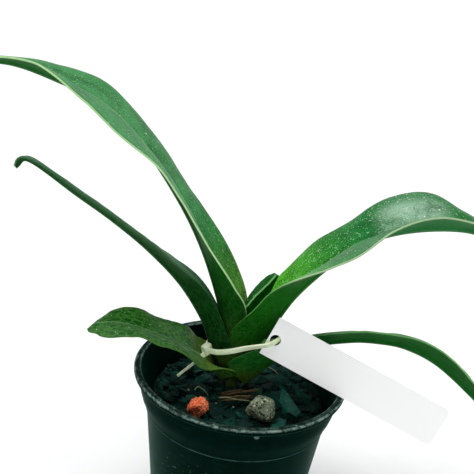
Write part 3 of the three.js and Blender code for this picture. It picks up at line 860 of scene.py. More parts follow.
def closed_tube(bm: BMesh, place: PlaceAt, around: int, steps: int, endless: bool = False) -> None:
    """A grid rolled up into a tube, with its ends closed unless it is endless.

    Args:
        bm: The mesh to add it to.
        place: Gives the point at (share along, share around).
        around: Faces round the tube.
        steps: Faces along it.
        endless: Whether the tube comes round to its start.
    """
    made = bmesh.ops.create_grid(bm, x_segments=around, y_segments=steps, size=1.0)["verts"]
    for vert in made:
        along, round_share = (vert.co.y + 1) / 2, (vert.co.x + 1) / 2
        vert.co = place(along % 1.0 if endless and along > 1 - 1e-6 else along, round_share % 1.0)
    bmesh.ops.remove_doubles(bm, verts=made, dist=1e-4)
    if not endless:
        bmesh.ops.holes_fill(bm, edges=[edge for edge in bm.edges if edge.is_boundary], sides=0)
    bmesh.ops.recalc_face_normals(bm, faces=bm.faces)


def absorb(bm: BMesh, part: BMesh) -> None:
    """Adds another mesh to a mesh, and frees the other one."""
    mesh = bpy.data.meshes.new("part")
    part.to_mesh(mesh)
    part.free()
    bm.from_mesh(mesh)
    bpy.data.meshes.remove(mesh)


@dataclass(frozen=True)
class LeafForm:
    """One leaf's shape: its crease, the width and opening of its halves, and its sheath.

    Lengths are in millimetres and angles in degrees. The halves are half_width wide, with
    base_share of that at the foot, and narrow from taper_from on. The sheath clasps the stem up to
    clasp, turned round it by wrap. The front and back halves stand open by front and back.
    """

    name: str
    side: int
    nest: int
    midrib: tuple[Triple, ...]
    half_width: float
    base_share: float
    taper_from: float
    clasp: Ends
    wrap: tuple[float, ...]
    front: tuple[float, ...]
    back: tuple[float, ...]
    slant: float = 0.1


@dataclass
class Leaf:
    """A folded strap leaf: a thin blade with a keel, which clasps the stem at its base."""

    form: LeafForm
    finish: LeafFinish
    slot: str = "leaf_green"
    half_steps: int = 16
    steps: int = 150
    blade_mm: float = 1.2
    margin_mm: float = 0.8
    keel_mm: float = 1.5
    tip_half_width_mm: float = 1.2
    sheath_step_mm: float = 1.45
    inner_sheath_mm: float = 1.8
    sheath_foot_share: float = 0.62
    foot_cup: float = -26.0
    blade_cup: float = 16.0
    keel_reach_mm: float = 1.1
    ripple_mm: float = 0.3
    ripple_scale: Triple = (26.0, 1.5, 7.3)
    route: Route = field(init=False)

    def __post_init__(self) -> None:
        """Measures the midrib."""
        self.route = Route(self.form.midrib)
        self.rows: dict[float, tuple] = {}

    def half_width(self, u: float) -> float:
        """Width of one half at u along the leaf."""
        form = self.form
        rise = mix(form.base_share, 1.0, ease(u, 0.05, 0.35))
        fall = clamp((u - form.taper_from) / (1 - form.taper_from))
        return max(self.tip_half_width_mm, form.half_width * rise * math.sqrt(1 - fall**2.2))

    def row(self, u: float) -> tuple:
        """What all points of a row across the leaf share.

        Args:
            u: Share of the way from base to tip.

        Returns:
            The crease, the inward and backward directions, the half width, the cup angle, how far
            the row belongs to the sheath, the crease's distance from the plant's axis, the
            sheath's depth and wrap, and the opening angles of the front and back halves.
        """
        key = round(u, 6)
        if key not in self.rows:
            form = self.form
            crease, forward = self.route.at(u), self.route.heading(u)
            inward = Vector((0, 1, 0)).cross(forward) * -form.side
            inward.normalize()
            backward = forward.cross(inward).normalized()
            if backward.y < 0:
                backward.negate()
            deep = self.inner_sheath_mm + self.sheath_step_mm * form.nest
            deep *= mix(self.sheath_foot_share, 1.0, ease(u, 0.0, form.clasp[0]))
            self.rows[key] = (
                crease, inward, backward, self.half_width(u),
                math.radians(mix(self.foot_cup, self.blade_cup, ease(u, 0.15, 0.4))),
                1 - ease(u, *form.clasp), (crease.x - PLANT_X) * form.side, deep,
                math.radians(Values(form.wrap).at(u / form.clasp[1])),
                math.radians(Values(form.front).at(u)),
                math.radians(Values(form.back).at(u)),
            )
        return self.rows[key]

    def point(self, u: float, s: float) -> Vector:
        """A place on the middle surface.

        Args:
            u: Share of the way from base to tip.
            s: Share of the way from the crease to a margin, below 0 on the front half.

        Returns:
            The place in millimetres.
        """
        crease, inward, backward, width, cup, clasped, across, deep, wrap, front, back = self.row(u)
        way, share = (1 if s > 0 else -1), abs(s)
        opening = back if s > 0 else front
        start, stop = opening - cup, opening + cup * (2 * share - 1)
        if abs(cup) < 0.02:
            into, aside = math.cos(opening) * share, math.sin(opening) * share
        else:
            into = (math.sin(stop) - math.sin(start)) / (2 * cup)
            aside = (math.cos(start) - math.cos(stop)) / (2 * cup)
        blade = crease + inward * (into * width) + backward * (way * aside * width)
        turn = wrap * share
        behind = across * (1 - math.cos(turn))
        side = self.form.side
        sheath = crease + Vector((-side * behind, way * deep * math.sin(turn), self.form.slant * behind))
        return blade.lerp(sheath, clasped)

    def mesh(self) -> BMesh:
        """The closed blade, with its places along and across kept for the skin."""
        bm = bmesh.new()
        place_layer = bm.verts.layers.float_vector.new("leaf_place")
        run_layer = bm.verts.layers.float_vector.new("leaf_run")
        bmesh.ops.create_grid(bm, x_segments=2 * self.half_steps, y_segments=self.steps, size=1.0)
        length = self.route.length
        for vert in bm.verts:
            s, u = vert.co.x, (vert.co.y + 1) / 2
            vert[place_layer] = (u, s, 1.0)
            vert[run_layer] = (u * length * MM, s * self.half_width(u) * MM, 0.0)
            vert.co = self.point(u, s)
        bm.normal_update()
        self.give_thickness(bm, place_layer, run_layer)
        return bm

    def give_thickness(self, bm: BMesh, place_layer: Layer, run_layer: Layer) -> None:
        """Splits the middle surface into an inner and an outer face joined at the margins.

        Args:
            bm: The mesh, which holds the middle surface alone.
            place_layer: Layer of (share along, share across, inner face).
            run_layer: Layer of the distances along and across, in metres.
        """
        middle = min(bm.verts, key=lambda v: abs(v[place_layer].x - 0.5) + abs(v[place_layer].y))
        if middle.normal.dot(self.row(0.5)[1]) < 0:
            bmesh.ops.reverse_faces(bm, faces=bm.faces)
            bm.normal_update()
        inner = list(bm.verts)
        rim = [edge for edge in bm.edges if edge.is_boundary]
        copy = bmesh.ops.duplicate(bm, geom=bm.verts[:] + bm.edges[:] + bm.faces[:])
        copied_faces = [item for item in copy["geom"] if isinstance(item, bmesh.types.BMFace)]
        bmesh.ops.reverse_faces(bm, faces=copied_faces)
        normals = {vert: vert.normal.copy() for vert in inner}
        pairs = copy["vert_map"]
        for vert in inner:
            normal, twin = normals[vert], pairs[vert]
            u, s, _ = vert[place_layer]
            half = mix(self.blade_mm, self.margin_mm, s * s) / 2
            from_crease = abs(s) * self.half_width(u)
            keel = (self.keel_mm - half) * math.exp(-((from_crease / self.keel_reach_mm) ** 2))
            along, across, nest = self.ripple_scale
            wave = noise.noise(Vector((u * along, s * across, self.form.nest * nest)))
            ripple = normal * (self.ripple_mm * wave * s * s * ease(u, 0.25, 0.4))
            base = vert.co.copy()
            vert.co = base + normal * half + ripple
            twin.co = base - normal * (half + keel) + ripple
            twin[place_layer] = (u, s, 0.0)
            twin[run_layer] = vert[run_layer] + Vector((0.0, 0.0, 0.05))
        far_rim = [bm.edges.get([pairs[vert] for vert in edge.verts]) for edge in rim]
        bmesh.ops.bridge_loops(bm, edges=rim + far_rim)
        bmesh.ops.recalc_face_normals(bm, faces=bm.faces)

    def build(self) -> Object:
        """The finished leaf."""
        name = self.form.name
        return dressed(f"{name}_blade", self.mesh(), self.finish.material(f"{name}_skin"), name, self.slot)


@dataclass
class Pot:
    """The nursery pot: a spun wall with a flared collar and rolled rim, and drained floor."""

    height: float = 95.0
    rim_radius: float = 54.0
    mouth_radius: float = 50.6
    rim_depth: float = 3.4
    collar_radius: float = 50.3
    collar_depth: float = 22.5
    body_top_radius: float = 46.2
    body_foot_radius: float = 37.8
    wall: float = 1.2
    floor: float = 1.6
    drain_holes: int = 8
    drain_radius: float = 3.6
    drain_ring: float = 27.0
    sides: int = 160
    edge_round: float = 0.28
    sharp_angle: float = 0.35
    sharp_length: float = 3.0
    nub_size: Triple = (1.4, 1.0, 1.3)
    finish: PotFinish = PotFinish()

    def profile(self) -> list[tuple[float, float]]:
        """Radius and height of the wall: up its outside, over the rim and down its inside."""
        top, lip = self.height - self.collar_depth, self.height - self.rim_depth
        body, collar, rim, mouth = self.body_top_radius, self.collar_radius, self.rim_radius, self.mouth_radius
        foot = self.body_foot_radius
        at_floor = mix(foot, body, self.floor / top) - self.wall
        near_foot = mix(foot, body, 0.8 / top)
        return [
            (0, 0), (foot - 0.8, 0), (near_foot, 0.8), (body, top), (body + 0.7, top + 0.5),
            (body + 0.8, top + 1.4), (body + 1.1, top + 2.8), (collar - 1.3, top + 6.5),
            (collar - 0.3, top + 10), (collar, top + 13), (collar + 0.2, lip - 0.4),
            (rim - 0.9, lip), (rim, lip + 1), (rim, self.height - 1), (rim - 0.8, self.height),
            (mouth + 0.6, self.height), (mouth, self.height - 0.7), (collar - self.wall, top + 12.5),
            (collar - self.wall - 0.5, top + 9.5), (body - self.wall + 0.6, top + 1.5),
            (body - self.wall, top - 1), (at_floor, self.floor), (0, self.floor),
        ]

    def drains(self) -> Object:
        """A hidden cutter with one post for each drain hole."""
        bm = bmesh.new()
        for i in range(self.drain_holes):
            turn = (i + 0.5) / self.drain_holes * math.tau
            place = Matrix.Translation((self.drain_ring * math.cos(turn), self.drain_ring * math.sin(turn), 0))
            bmesh.ops.create_cone(bm, cap_ends=True, segments=24, radius1=self.drain_radius,
                                  radius2=self.drain_radius, depth=4 * self.floor, matrix=place)
        return meshed("drain_posts", bm)

    def mesh(self) -> BMesh:
        """The spun wall with softened edges, its drain holes cut and the drip under its rim."""
        bm = spun(self.profile(), self.sides)
        sharp = [edge for edge in bm.edges if edge.is_manifold and edge.calc_face_angle() > self.sharp_angle
                 and edge.calc_length() < self.sharp_length]
        bmesh.ops.bevel(bm, geom=sharp, offset=self.edge_round, segments=2, profile=0.5, affect="EDGES",
                        material=-1)
        nub = Matrix.Translation(self.finish.nub) @ Matrix.Diagonal((*self.nub_size, 1.0))
        wall = meshed("pot_wall", bm)
        cutter = self.drains()
        cut = wall.modifiers.new("drains", "BOOLEAN")
        cut.operation, cut.object, cut.solver = "DIFFERENCE", cutter, "EXACT"
        bpy.context.view_layer.update()
        done = bmesh.new()
        done.from_object(wall, bpy.context.evaluated_depsgraph_get())
        for spare in (wall, cutter):
            bpy.data.objects.remove(spare)
        bmesh.ops.create_icosphere(done, subdivisions=3, radius=1.0, matrix=nub)
        return done

    def build(self) -> Object:
        """The finished pot."""
        return dressed("nursery_pot", self.mesh(), self.finish.material("pot_plastic"), "pot", "pot_plastic")


@dataclass(frozen=True)
class Strewing:
    """A layer of shards: how many, their least and greatest length, and how high they lie."""

    count: int
    sizes: Ends
    lift: float


@dataclass
class Mix:
    """The potting mix: a heaped filling under loose bark chips, crumbs and a few fibres."""

    surface: float = 80.0
    crown: float = 3.6
    reach: float = 44.6
    strewn: tuple[Strewing, ...] = (
        Strewing(170, (5, 9), 0.8), Strewing(120, (9, 15), 1.8), Strewing(420, (1.6, 3.6), 1.6))
    tries: int = 30
    collar_chips: int = 26
    collar_ring: Ends = (4.5, 9)
    collar_sizes: Ends = (3.5, 6)
    collar_top: float = 85.0
    tiny: float = 1.8
    stem_radius: float = 3.5
    keep_clear: tuple[Triple, ...] = (
        (-19.4, -26, 5.0), (11.5, -22, 6.5), (27, -17.5, 5.5), (-2, -15.7, 3.0), (8, -14, 3.0))
    shard_kinds: int = 9
    shard_points: int = 12
    fibres: tuple = (
        ((-21.5, -21, 92.2), (-20.3, -20.6, 94.0), (-17.6, -20, 92.6), (-15.6, -19.4, 90.2), (-14.6, -19, 88.6)),
        ((-9, -17, 87), (-5, -18.2, 88.4), (0, -18, 87.8), (5, -19.4, 88.8), (9, -18.6, 87.2)),
        ((22, 16, 83), (18, 20, 84.8), (12, 24, 84.4), (8, 29, 82.8)),
    )
    fibre_radius: float = 0.28
    fibre_tone: float = 2.0
    pale_tone: float = 1.6
    pale_bits: tuple = ((-1.8, -20, 84.6, 1.3), (-10.3, -20, 85.6, 1.1), (-24.5, -20.4, 91.6, 1.5),
                        (33, 4, 84, 1.2), (-2, 30, 84, 1.3), (-30, 14, 84, 1.1))
    seed: int = 19
    finish: BarkFinish = BarkFinish()

    def ground(self, radius: float) -> float:
        """Height of the filling at a distance from the pot's axis."""
        return self.surface - 1 + (self.crown + 1) * (1 - ease(radius, 6, 40))

    def chip_shapes(self, rng: random.Random) -> list[bpy.types.Mesh]:
        """A few rough shards of bark, each one unit across."""
        shapes = []
        for i in range(self.shard_kinds):
            bm = bmesh.new()
            for _ in range(self.shard_points):
                bm.verts.new((rng.uniform(-0.5, 0.5), rng.uniform(-0.5, 0.5), rng.uniform(-0.5, 0.5)))
            hull = bmesh.ops.convex_hull(bm, input=bm.verts)
            loose = [v for v in hull["geom_interior"] if isinstance(v, bmesh.types.BMVert)]
            bmesh.ops.delete(bm, geom=loose, context="VERTS")
            bmesh.ops.subdivide_edges(bm, edges=bm.edges, cuts=1)
            bmesh.ops.triangulate(bm, faces=bm.faces)
            for vert in bm.verts:
                vert.co += noise.noise_vector(vert.co * 2.4 + Vector((i, 0, 0))) * 0.07
            bmesh.ops.recalc_face_normals(bm, faces=bm.faces)
            mesh = bpy.data.meshes.new(f"shard_{i}")
            bm.to_mesh(mesh)
            bm.free()
            shapes.append(mesh)
        return shapes

    def is_free(self, x: float, y: float, room: float) -> bool:
        """Whether a chip of that half size would keep clear of the stones and the plant."""
        if math.hypot(x - PLANT_X, y) < self.stem_radius + room * 0.7:
            return False
        if room < self.tiny:
            return True
        return all(math.hypot(x - cx, y - cy) > r + room * 0.6 for cx, cy, r in self.keep_clear)

    def scatter(self, bm: BMesh, tone: Layer, shapes: list[bpy.types.Mesh], rng: random.Random,
                layer: Strewing) -> None:
        """Strews shards over the filling.

        Args:
            bm: The mesh to add them to, from which nothing has been deleted.
            tone: Layer that keeps each shard's own tone.
            shapes: Shard meshes to choose from.
            rng: Source of chance.
            layer: How many shards, how long and how high.
        """
        for _ in range(layer.count):
            size = rng.uniform(*layer.sizes)
            for _ in range(self.tries):
                turn = rng.uniform(0, math.tau)
                radius = self.reach * math.sqrt(rng.uniform(0, 1))
                x, y = radius * math.cos(turn), radius * math.sin(turn)
                if radius < self.reach - size * 0.45 and self.is_free(x, y, size / 2):
                    break
            else:
                continue
            form = Matrix.Diagonal((size, size * rng.uniform(0.5, 0.85), size * rng.uniform(0.28, 0.5), 1.0))
            tilt = (Matrix.Rotation(rng.uniform(0, 6.28), 4, "Z") @ Matrix.Rotation(rng.uniform(-0.6, 0.6), 4, "X")
                    @ Matrix.Rotation(rng.uniform(-0.5, 0.5), 4, "Y"))
            place = Matrix.Translation((x, y, self.ground(radius) + layer.lift * rng.uniform(0.3, 1.0)))
            self.lay(bm, tone, rng.choice(shapes), place @ tilt @ form, rng.random() ** 1.8)

    def lay(self, bm: BMesh, tone: Layer, shape: bpy.types.Mesh, matrix: Matrix, shade: float) -> None:
        """Adds one shard with its own tone.

        Args:
            bm: The mesh to add it to.
            tone: Layer that keeps the tone.
            shape: The shard.
            matrix: Its size, turn and place.
            shade: Its tone.
        """
        before = len(bm.verts)
        bm.from_mesh(shape)
        bm.verts.ensure_lookup_table()
        new = bm.verts[before:]
        bmesh.ops.transform(bm, matrix=matrix, verts=new)
        for vert in new:
            vert[tone] = shade

    def filling(self) -> BMesh:
        """The spun body of the mix."""
        outline = [(0, 2.2), (36.6, 2.2), (44.4, 71), (44.6, self.surface - 3)]
        outline += [(r, self.ground(r)) for r in range(43, -1, -1)]
        bm = spun(outline, 72)
        for vert in bm.verts:
            if vert.co.z > self.surface - 2:
                vert.co.z += noise.fractal(vert.co * 0.32, 0.9, 2.2, 3) * 0.9
        return bm

    def fibre(self, points: tuple) -> BMesh:
        """A thin pale fibre along the points."""
        bm = bmesh.new()
        tone = bm.verts.layers.float.new("chip_tone")
        route = Route(points, centripetal=True)

        def place(along: float, share: float) -> Vector:
            """The point at that share along and round the fibre."""
            forward = route.heading(along)
            side = forward.cross(Vector((0, 0, 1))).normalized()
            turn = math.tau * share
            radius = self.fibre_radius * (1 - 0.6 * along)
            return route.at(along) + (side * math.cos(turn) + side.cross(forward) * math.sin(turn)) * radius

        closed_tube(bm, place, 6, 18)
        return shaded(bm, tone, self.fibre_tone)

    def mesh(self) -> BMesh:
        """The filling and everything strewn on it."""
        rng = random.Random(self.seed)
        bm = bmesh.new()
        tone = bm.verts.layers.float.new("chip_tone")
        shapes = self.chip_shapes(rng)
        for layer in self.strewn:
            self.scatter(bm, tone, shapes, rng, layer)
        for _ in range(self.collar_chips):
            turn, radius = rng.uniform(0, math.tau), rng.uniform(*self.collar_ring)
            place = Matrix.Translation((PLANT_X + radius * math.cos(turn), radius * math.sin(turn),
                                        self.collar_top - radius * 0.1))
            size = rng.uniform(*self.collar_sizes)
            form = Matrix.Diagonal((size, size * 0.7, size * 0.45, 1.0))
            self.lay(bm, tone, rng.choice(shapes), place @ Matrix.Rotation(turn, 4, "Z") @ form, rng.random() ** 2)
        for x, y, z, size in self.pale_bits:
            form = Matrix.Diagonal((size, size * 0.8, size * 0.6, 1.0))
            self.lay(bm, tone, shapes[0], Matrix.Translation((x, y, z)) @ form, self.pale_tone)
        for points in self.fibres:
            absorb(bm, self.fibre(points))
        absorb(bm, self.filling())
        for mesh in shapes:
            bpy.data.meshes.remove(mesh)
        return bm

    def build(self) -> Object:
        """The finished mix."""
        return dressed("bark_mix", self.mesh(), self.finish.material("dark_bark"), "potting_mix", "dark_bark",
                       flat=True)


@dataclass
class Lump:
    """A stone or stem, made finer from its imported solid."""

    node: str
    slot: str
    finish: StoneFinish | BarkFinish
    cuts: int = 3
    smooth: float = 1.0
    pits_mm: float = 0.3
    pit_scale: float = 0.9
    breaks: tuple[tuple[Triple, Triple], ...] = ()
    shift: Triple = (0.0, 0.0, 0.0)
    squeeze: float = 1.0

    def mesh(self) -> BMesh:
        """The solid with its broken faces, and finer faces worn and pitted inwards."""
        bm = from_node(self.node)
        bmesh.ops.translate(bm, verts=bm.verts, vec=self.shift)
        middle = sum(vert.co.x for vert in bm.verts) / len(bm.verts)
        for vert in bm.verts:
            vert.co.x = mix(middle, vert.co.x, self.squeeze)
        for point, normal in self.breaks:
            bmesh.ops.bisect_plane(bm, geom=bm.verts[:] + bm.edges[:] + bm.faces[:], plane_co=point,
                                   plane_no=normal, clear_outer=True)
            bmesh.ops.holes_fill(bm, edges=[e for e in bm.edges if e.is_boundary], sides=0)
            bmesh.ops.triangulate(bm, faces=bm.faces)
        for _ in range(self.cuts):
            bmesh.ops.subdivide_edges(bm, edges=bm.edges, cuts=1, smooth=self.smooth * 0.4, use_grid_fill=True)
            bmesh.ops.triangulate(bm, faces=bm.faces)
        if self.smooth > 0:
            bmesh.ops.smooth_vert(bm, verts=bm.verts, factor=0.5 * self.smooth, use_axis_x=True,
                                  use_axis_y=True, use_axis_z=True)
        bm.normal_update()
        for vert in bm.verts:
            deep = noise.fractal(vert.co * self.pit_scale, 0.7, 2.1, 4)
            vert.co += vert.normal * (-self.pits_mm * (0.5 + 0.5 * deep))
        return bm

    def build(self) -> Object:
        """The finished lump."""
        return dressed(f"{self.node}_piece", self.mesh(), self.finish.material(f"{self.node}_face"), self.node,
                       self.slot)


@dataclass
class Sliver:
    """A torn bark sliver: thin splinters that lie side by side, with ragged ends."""

    node: str
    size: Triple
    middle: Triple
    turn: Triple
    finish: BarkFinish
    seed: int
    splinters: int = 7
    widths: Ends = (0.9, 1.7)
    thicknesses: Ends = (0.6, 1.1)

    def splinter(self, rng: random.Random) -> BMesh:
        """One splinter, which runs along X."""
        bm = bmesh.new()
        tone = bm.verts.layers.float.new("chip_tone")
        length = self.size[0] * rng.uniform(0.45, 0.95)
        width, thick = rng.uniform(*self.widths), rng.uniform(*self.thicknesses)
        middle = Vector([rng.uniform(-1, 1) * (room - own) / 2
                         for room, own in zip(self.size, (length, width, thick))])
        start = Vector((rng.uniform(0, 90), 0, 0))
        bend, lean = rng.uniform(-0.5, 0.5), rng.uniform(-0.03, 0.03)
        head, tail = rng.uniform(2, 7), rng.uniform(2, 7)

        def place(along: float, share: float) -> Vector:
            """The point at that share along and round the splinter, which thins to both ends."""
            turn = math.tau * share
            a, b = math.cos(turn), math.sin(turn)
            ends = min(1.0, along * head, (1 - along) * tail)
            worn = 0.75 + 0.5 * noise.noise(start + Vector((along * 9, a, b)))
            side = squared(a, 0.6) * width / 2 * worn * ends
            high = squared(b, 0.6) * thick / 2 * worn * mix(0.4, 1, ends)
            arch = bend * (1 - (2 * along - 1) ** 2)
            return middle + Vector(((along - 0.5) * length, side + lean * along * length, high + arch))

        closed_tube(bm, place, 10, 26)
        return shaded(bm, tone, rng.random())

    def mesh(self) -> BMesh:
        """All splinters, turned and laid in their place."""
        rng = random.Random(self.seed)
        bm = bmesh.new()
        bm.verts.layers.float.new("chip_tone")
        for _ in range(self.splinters):
            absorb(bm, self.splinter(rng))
        x, y, z = self.turn
        turn = Matrix.Rotation(z, 4, "Z") @ Matrix.Rotation(y, 4, "Y") @ Matrix.Rotation(x, 4, "X")
        bmesh.ops.transform(bm, matrix=Matrix.Translation(self.middle) @ turn, verts=bm.verts)
        return bm

    def build(self) -> Object:
        """The finished sliver."""
        return dressed(f"{self.node}_piece", self.mesh(), self.finish.material(f"{self.node}_face"), self.node,
                       "brown_bark", flat=True)


@dataclass
class Tie:
    """The cream tie: a strap round the fan and through the tag, its head, and a cut tail."""

    strap_width: float = 2.7
    strap_thickness: float = 1.1
    tail_thickness: float = 1.0
    tail_tip_width: float = 1.3
    strap_route: tuple[Triple, ...] = (
        (-18.2, -5, 106.5), (-13.5, -9.6, 108), (-7, -11, 110), (0.4, -11.6, 113), (7, -13.6, 116.2),
        (11, -14.4, 117.8), (14.4, -12.3, 119), (17, -8.4, 119.6), (18, -3, 119.4), (15.5, 3, 118.6),
        (9, 8.2, 116.5), (-1, 10.6, 112.5), (-11, 9, 108.4), (-18, 3, 106.5),
    )
    tail_route: tuple[Triple, ...] = ((-17.6, -5.6, 105.6), (-20.6, -7.6, 103), (-26, -11, 98.6), (-31, -14, 94.6))
    head_size: Triple = (5.2, 4.0, 5.6)
    head_edge: float = 1.25
    slot_edge: float = 0.3
    slot_depth: float = 0.8
    finish: PlasticFinish = PlasticFinish((0.76, 0.86, 0.6), (0.42, 0.5, 0.2), 0.35, 0.45, 260.0, 0.15)

    def band(self, bm: BMesh, route: Route, width: Callable[[float], float], thickness: float,
             outward: Callable[[Vector], Vector], steps: int) -> None:
        """A flat band with rounded edges along a route.

        Args:
            bm: The mesh to add it to.
            route: Its middle line.
            width: Gives its width at a share of its length.
            thickness: Its thickness.
            outward: Gives the direction in which its thickness stands at a place.
            steps: Faces along it.
        """
        def place(along: float, share: float) -> Vector:
            """The point at that share along and round the band."""
            at, forward = route.at(along), route.heading(along)
            out = outward(at)
            out = (out - forward * out.dot(forward)).normalized()
            up = forward.cross(out)
            turn = math.tau * share
            high = squared(math.cos(turn), 0.35) * width(along) / 2
            deep = squared(math.sin(turn), 0.5) * thickness / 2
            return at + up * high + out * deep

        closed_tube(bm, place, 20, steps, route.closed)

    def head(self) -> BMesh:
        """The locking head: a rounded block with a sunk slot at both ends of the strap's way."""
        bm = bmesh.new()
        bmesh.ops.create_cube(bm, size=1.0)
        bmesh.ops.scale(bm, vec=self.head_size, verts=bm.verts)
        bmesh.ops.bevel(bm, geom=bm.edges[:], offset=self.head_edge, segments=4, profile=0.5, affect="EDGES",
                        material=-1)
        bm.normal_update()
        ends = sorted(bm.faces, key=lambda f: f.calc_area() if abs(f.normal.x) > 0.99 else 0.0)[-2:]
        bmesh.ops.inset_individual(bm, faces=ends, thickness=self.slot_edge)
        for face in ends:
            bmesh.ops.translate(bm, verts=face.verts, vec=face.normal * -self.slot_depth)
        turn = Matrix.Rotation(-0.3, 4, "Y") @ Matrix.Rotation(0.9, 4, "Z")
        bmesh.ops.transform(bm, matrix=Matrix.Translation(self.strap_route[0]) @ turn, verts=bm.verts)
        return bm

    def mesh(self) -> BMesh:
        """Strap, tail and head."""
        bm = self.head()
        strap = Route(self.strap_route, closed=True, centripetal=True)
        self.band(bm, strap, lambda u: self.strap_width, self.strap_thickness,
                  lambda at: Vector((at.x - PLANT_X, at.y, 0)), 150)
        tail = Route(self.tail_route, centripetal=True)
        self.band(bm, tail, lambda u: mix(self.strap_width, self.tail_tip_width, ease(u, 0.3, 0.5)),
                  self.tail_thickness, lambda at: Vector((0.5, -0.8, 0.3)), 40)
        return bm

    def build(self) -> Object:
        """The finished tie."""
        return dressed("nylon_tie", self.mesh(), self.finish.material("cream_nylon"), "cable_tie", "cream_nylon")


@dataclass
class Tag:
    """The blank plant tag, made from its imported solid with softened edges."""

    edge_mm: float = 0.12
    finish: PlasticFinish = PlasticFinish((0.95, 0.955, 0.94), (0.75, 0.75, 0.62), 0.4, 0.12, 60.0)

    def mesh(self) -> BMesh:
        """The solid with clean flat faces and softened edges."""
        bm = from_node("label_tag")
        bmesh.ops.dissolve_limit(bm, angle_limit=0.02, verts=bm.verts, edges=bm.edges)
        sharp = [e for e in bm.edges if e.is_manifold and e.calc_face_angle() > 1.2]
        bmesh.ops.bevel(bm, geom=sharp, offset=self.edge_mm, segments=2, profile=0.5, affect="EDGES", material=-1)
        bmesh.ops.triangulate(bm, faces=bm.faces)
        return bm

    def build(self) -> Object:
        """The finished tag."""
        return dressed("blank_tag", self.mesh(), self.finish.material("white_plastic"), "label_tag",
                       "white_plastic", flat=True)


@dataclass
class Plant:
    """The fan of six leaves on its short stem."""

    leaves: list[Leaf]
    stem_finish: BarkFinish = BarkFinish((0.012, 0.03, 0.005), (0.045, 0.075, 0.012),
                                         fibre=(900.0, 900.0, 120.0), tones=False)

    def build(self) -> None:
        """Builds each leaf and the stem between them."""
        for leaf in self.leaves:
            leaf.build()
        Lump("stem_and_roots", "stem", self.stem_finish, cuts=1, pits_mm=0.15).build()


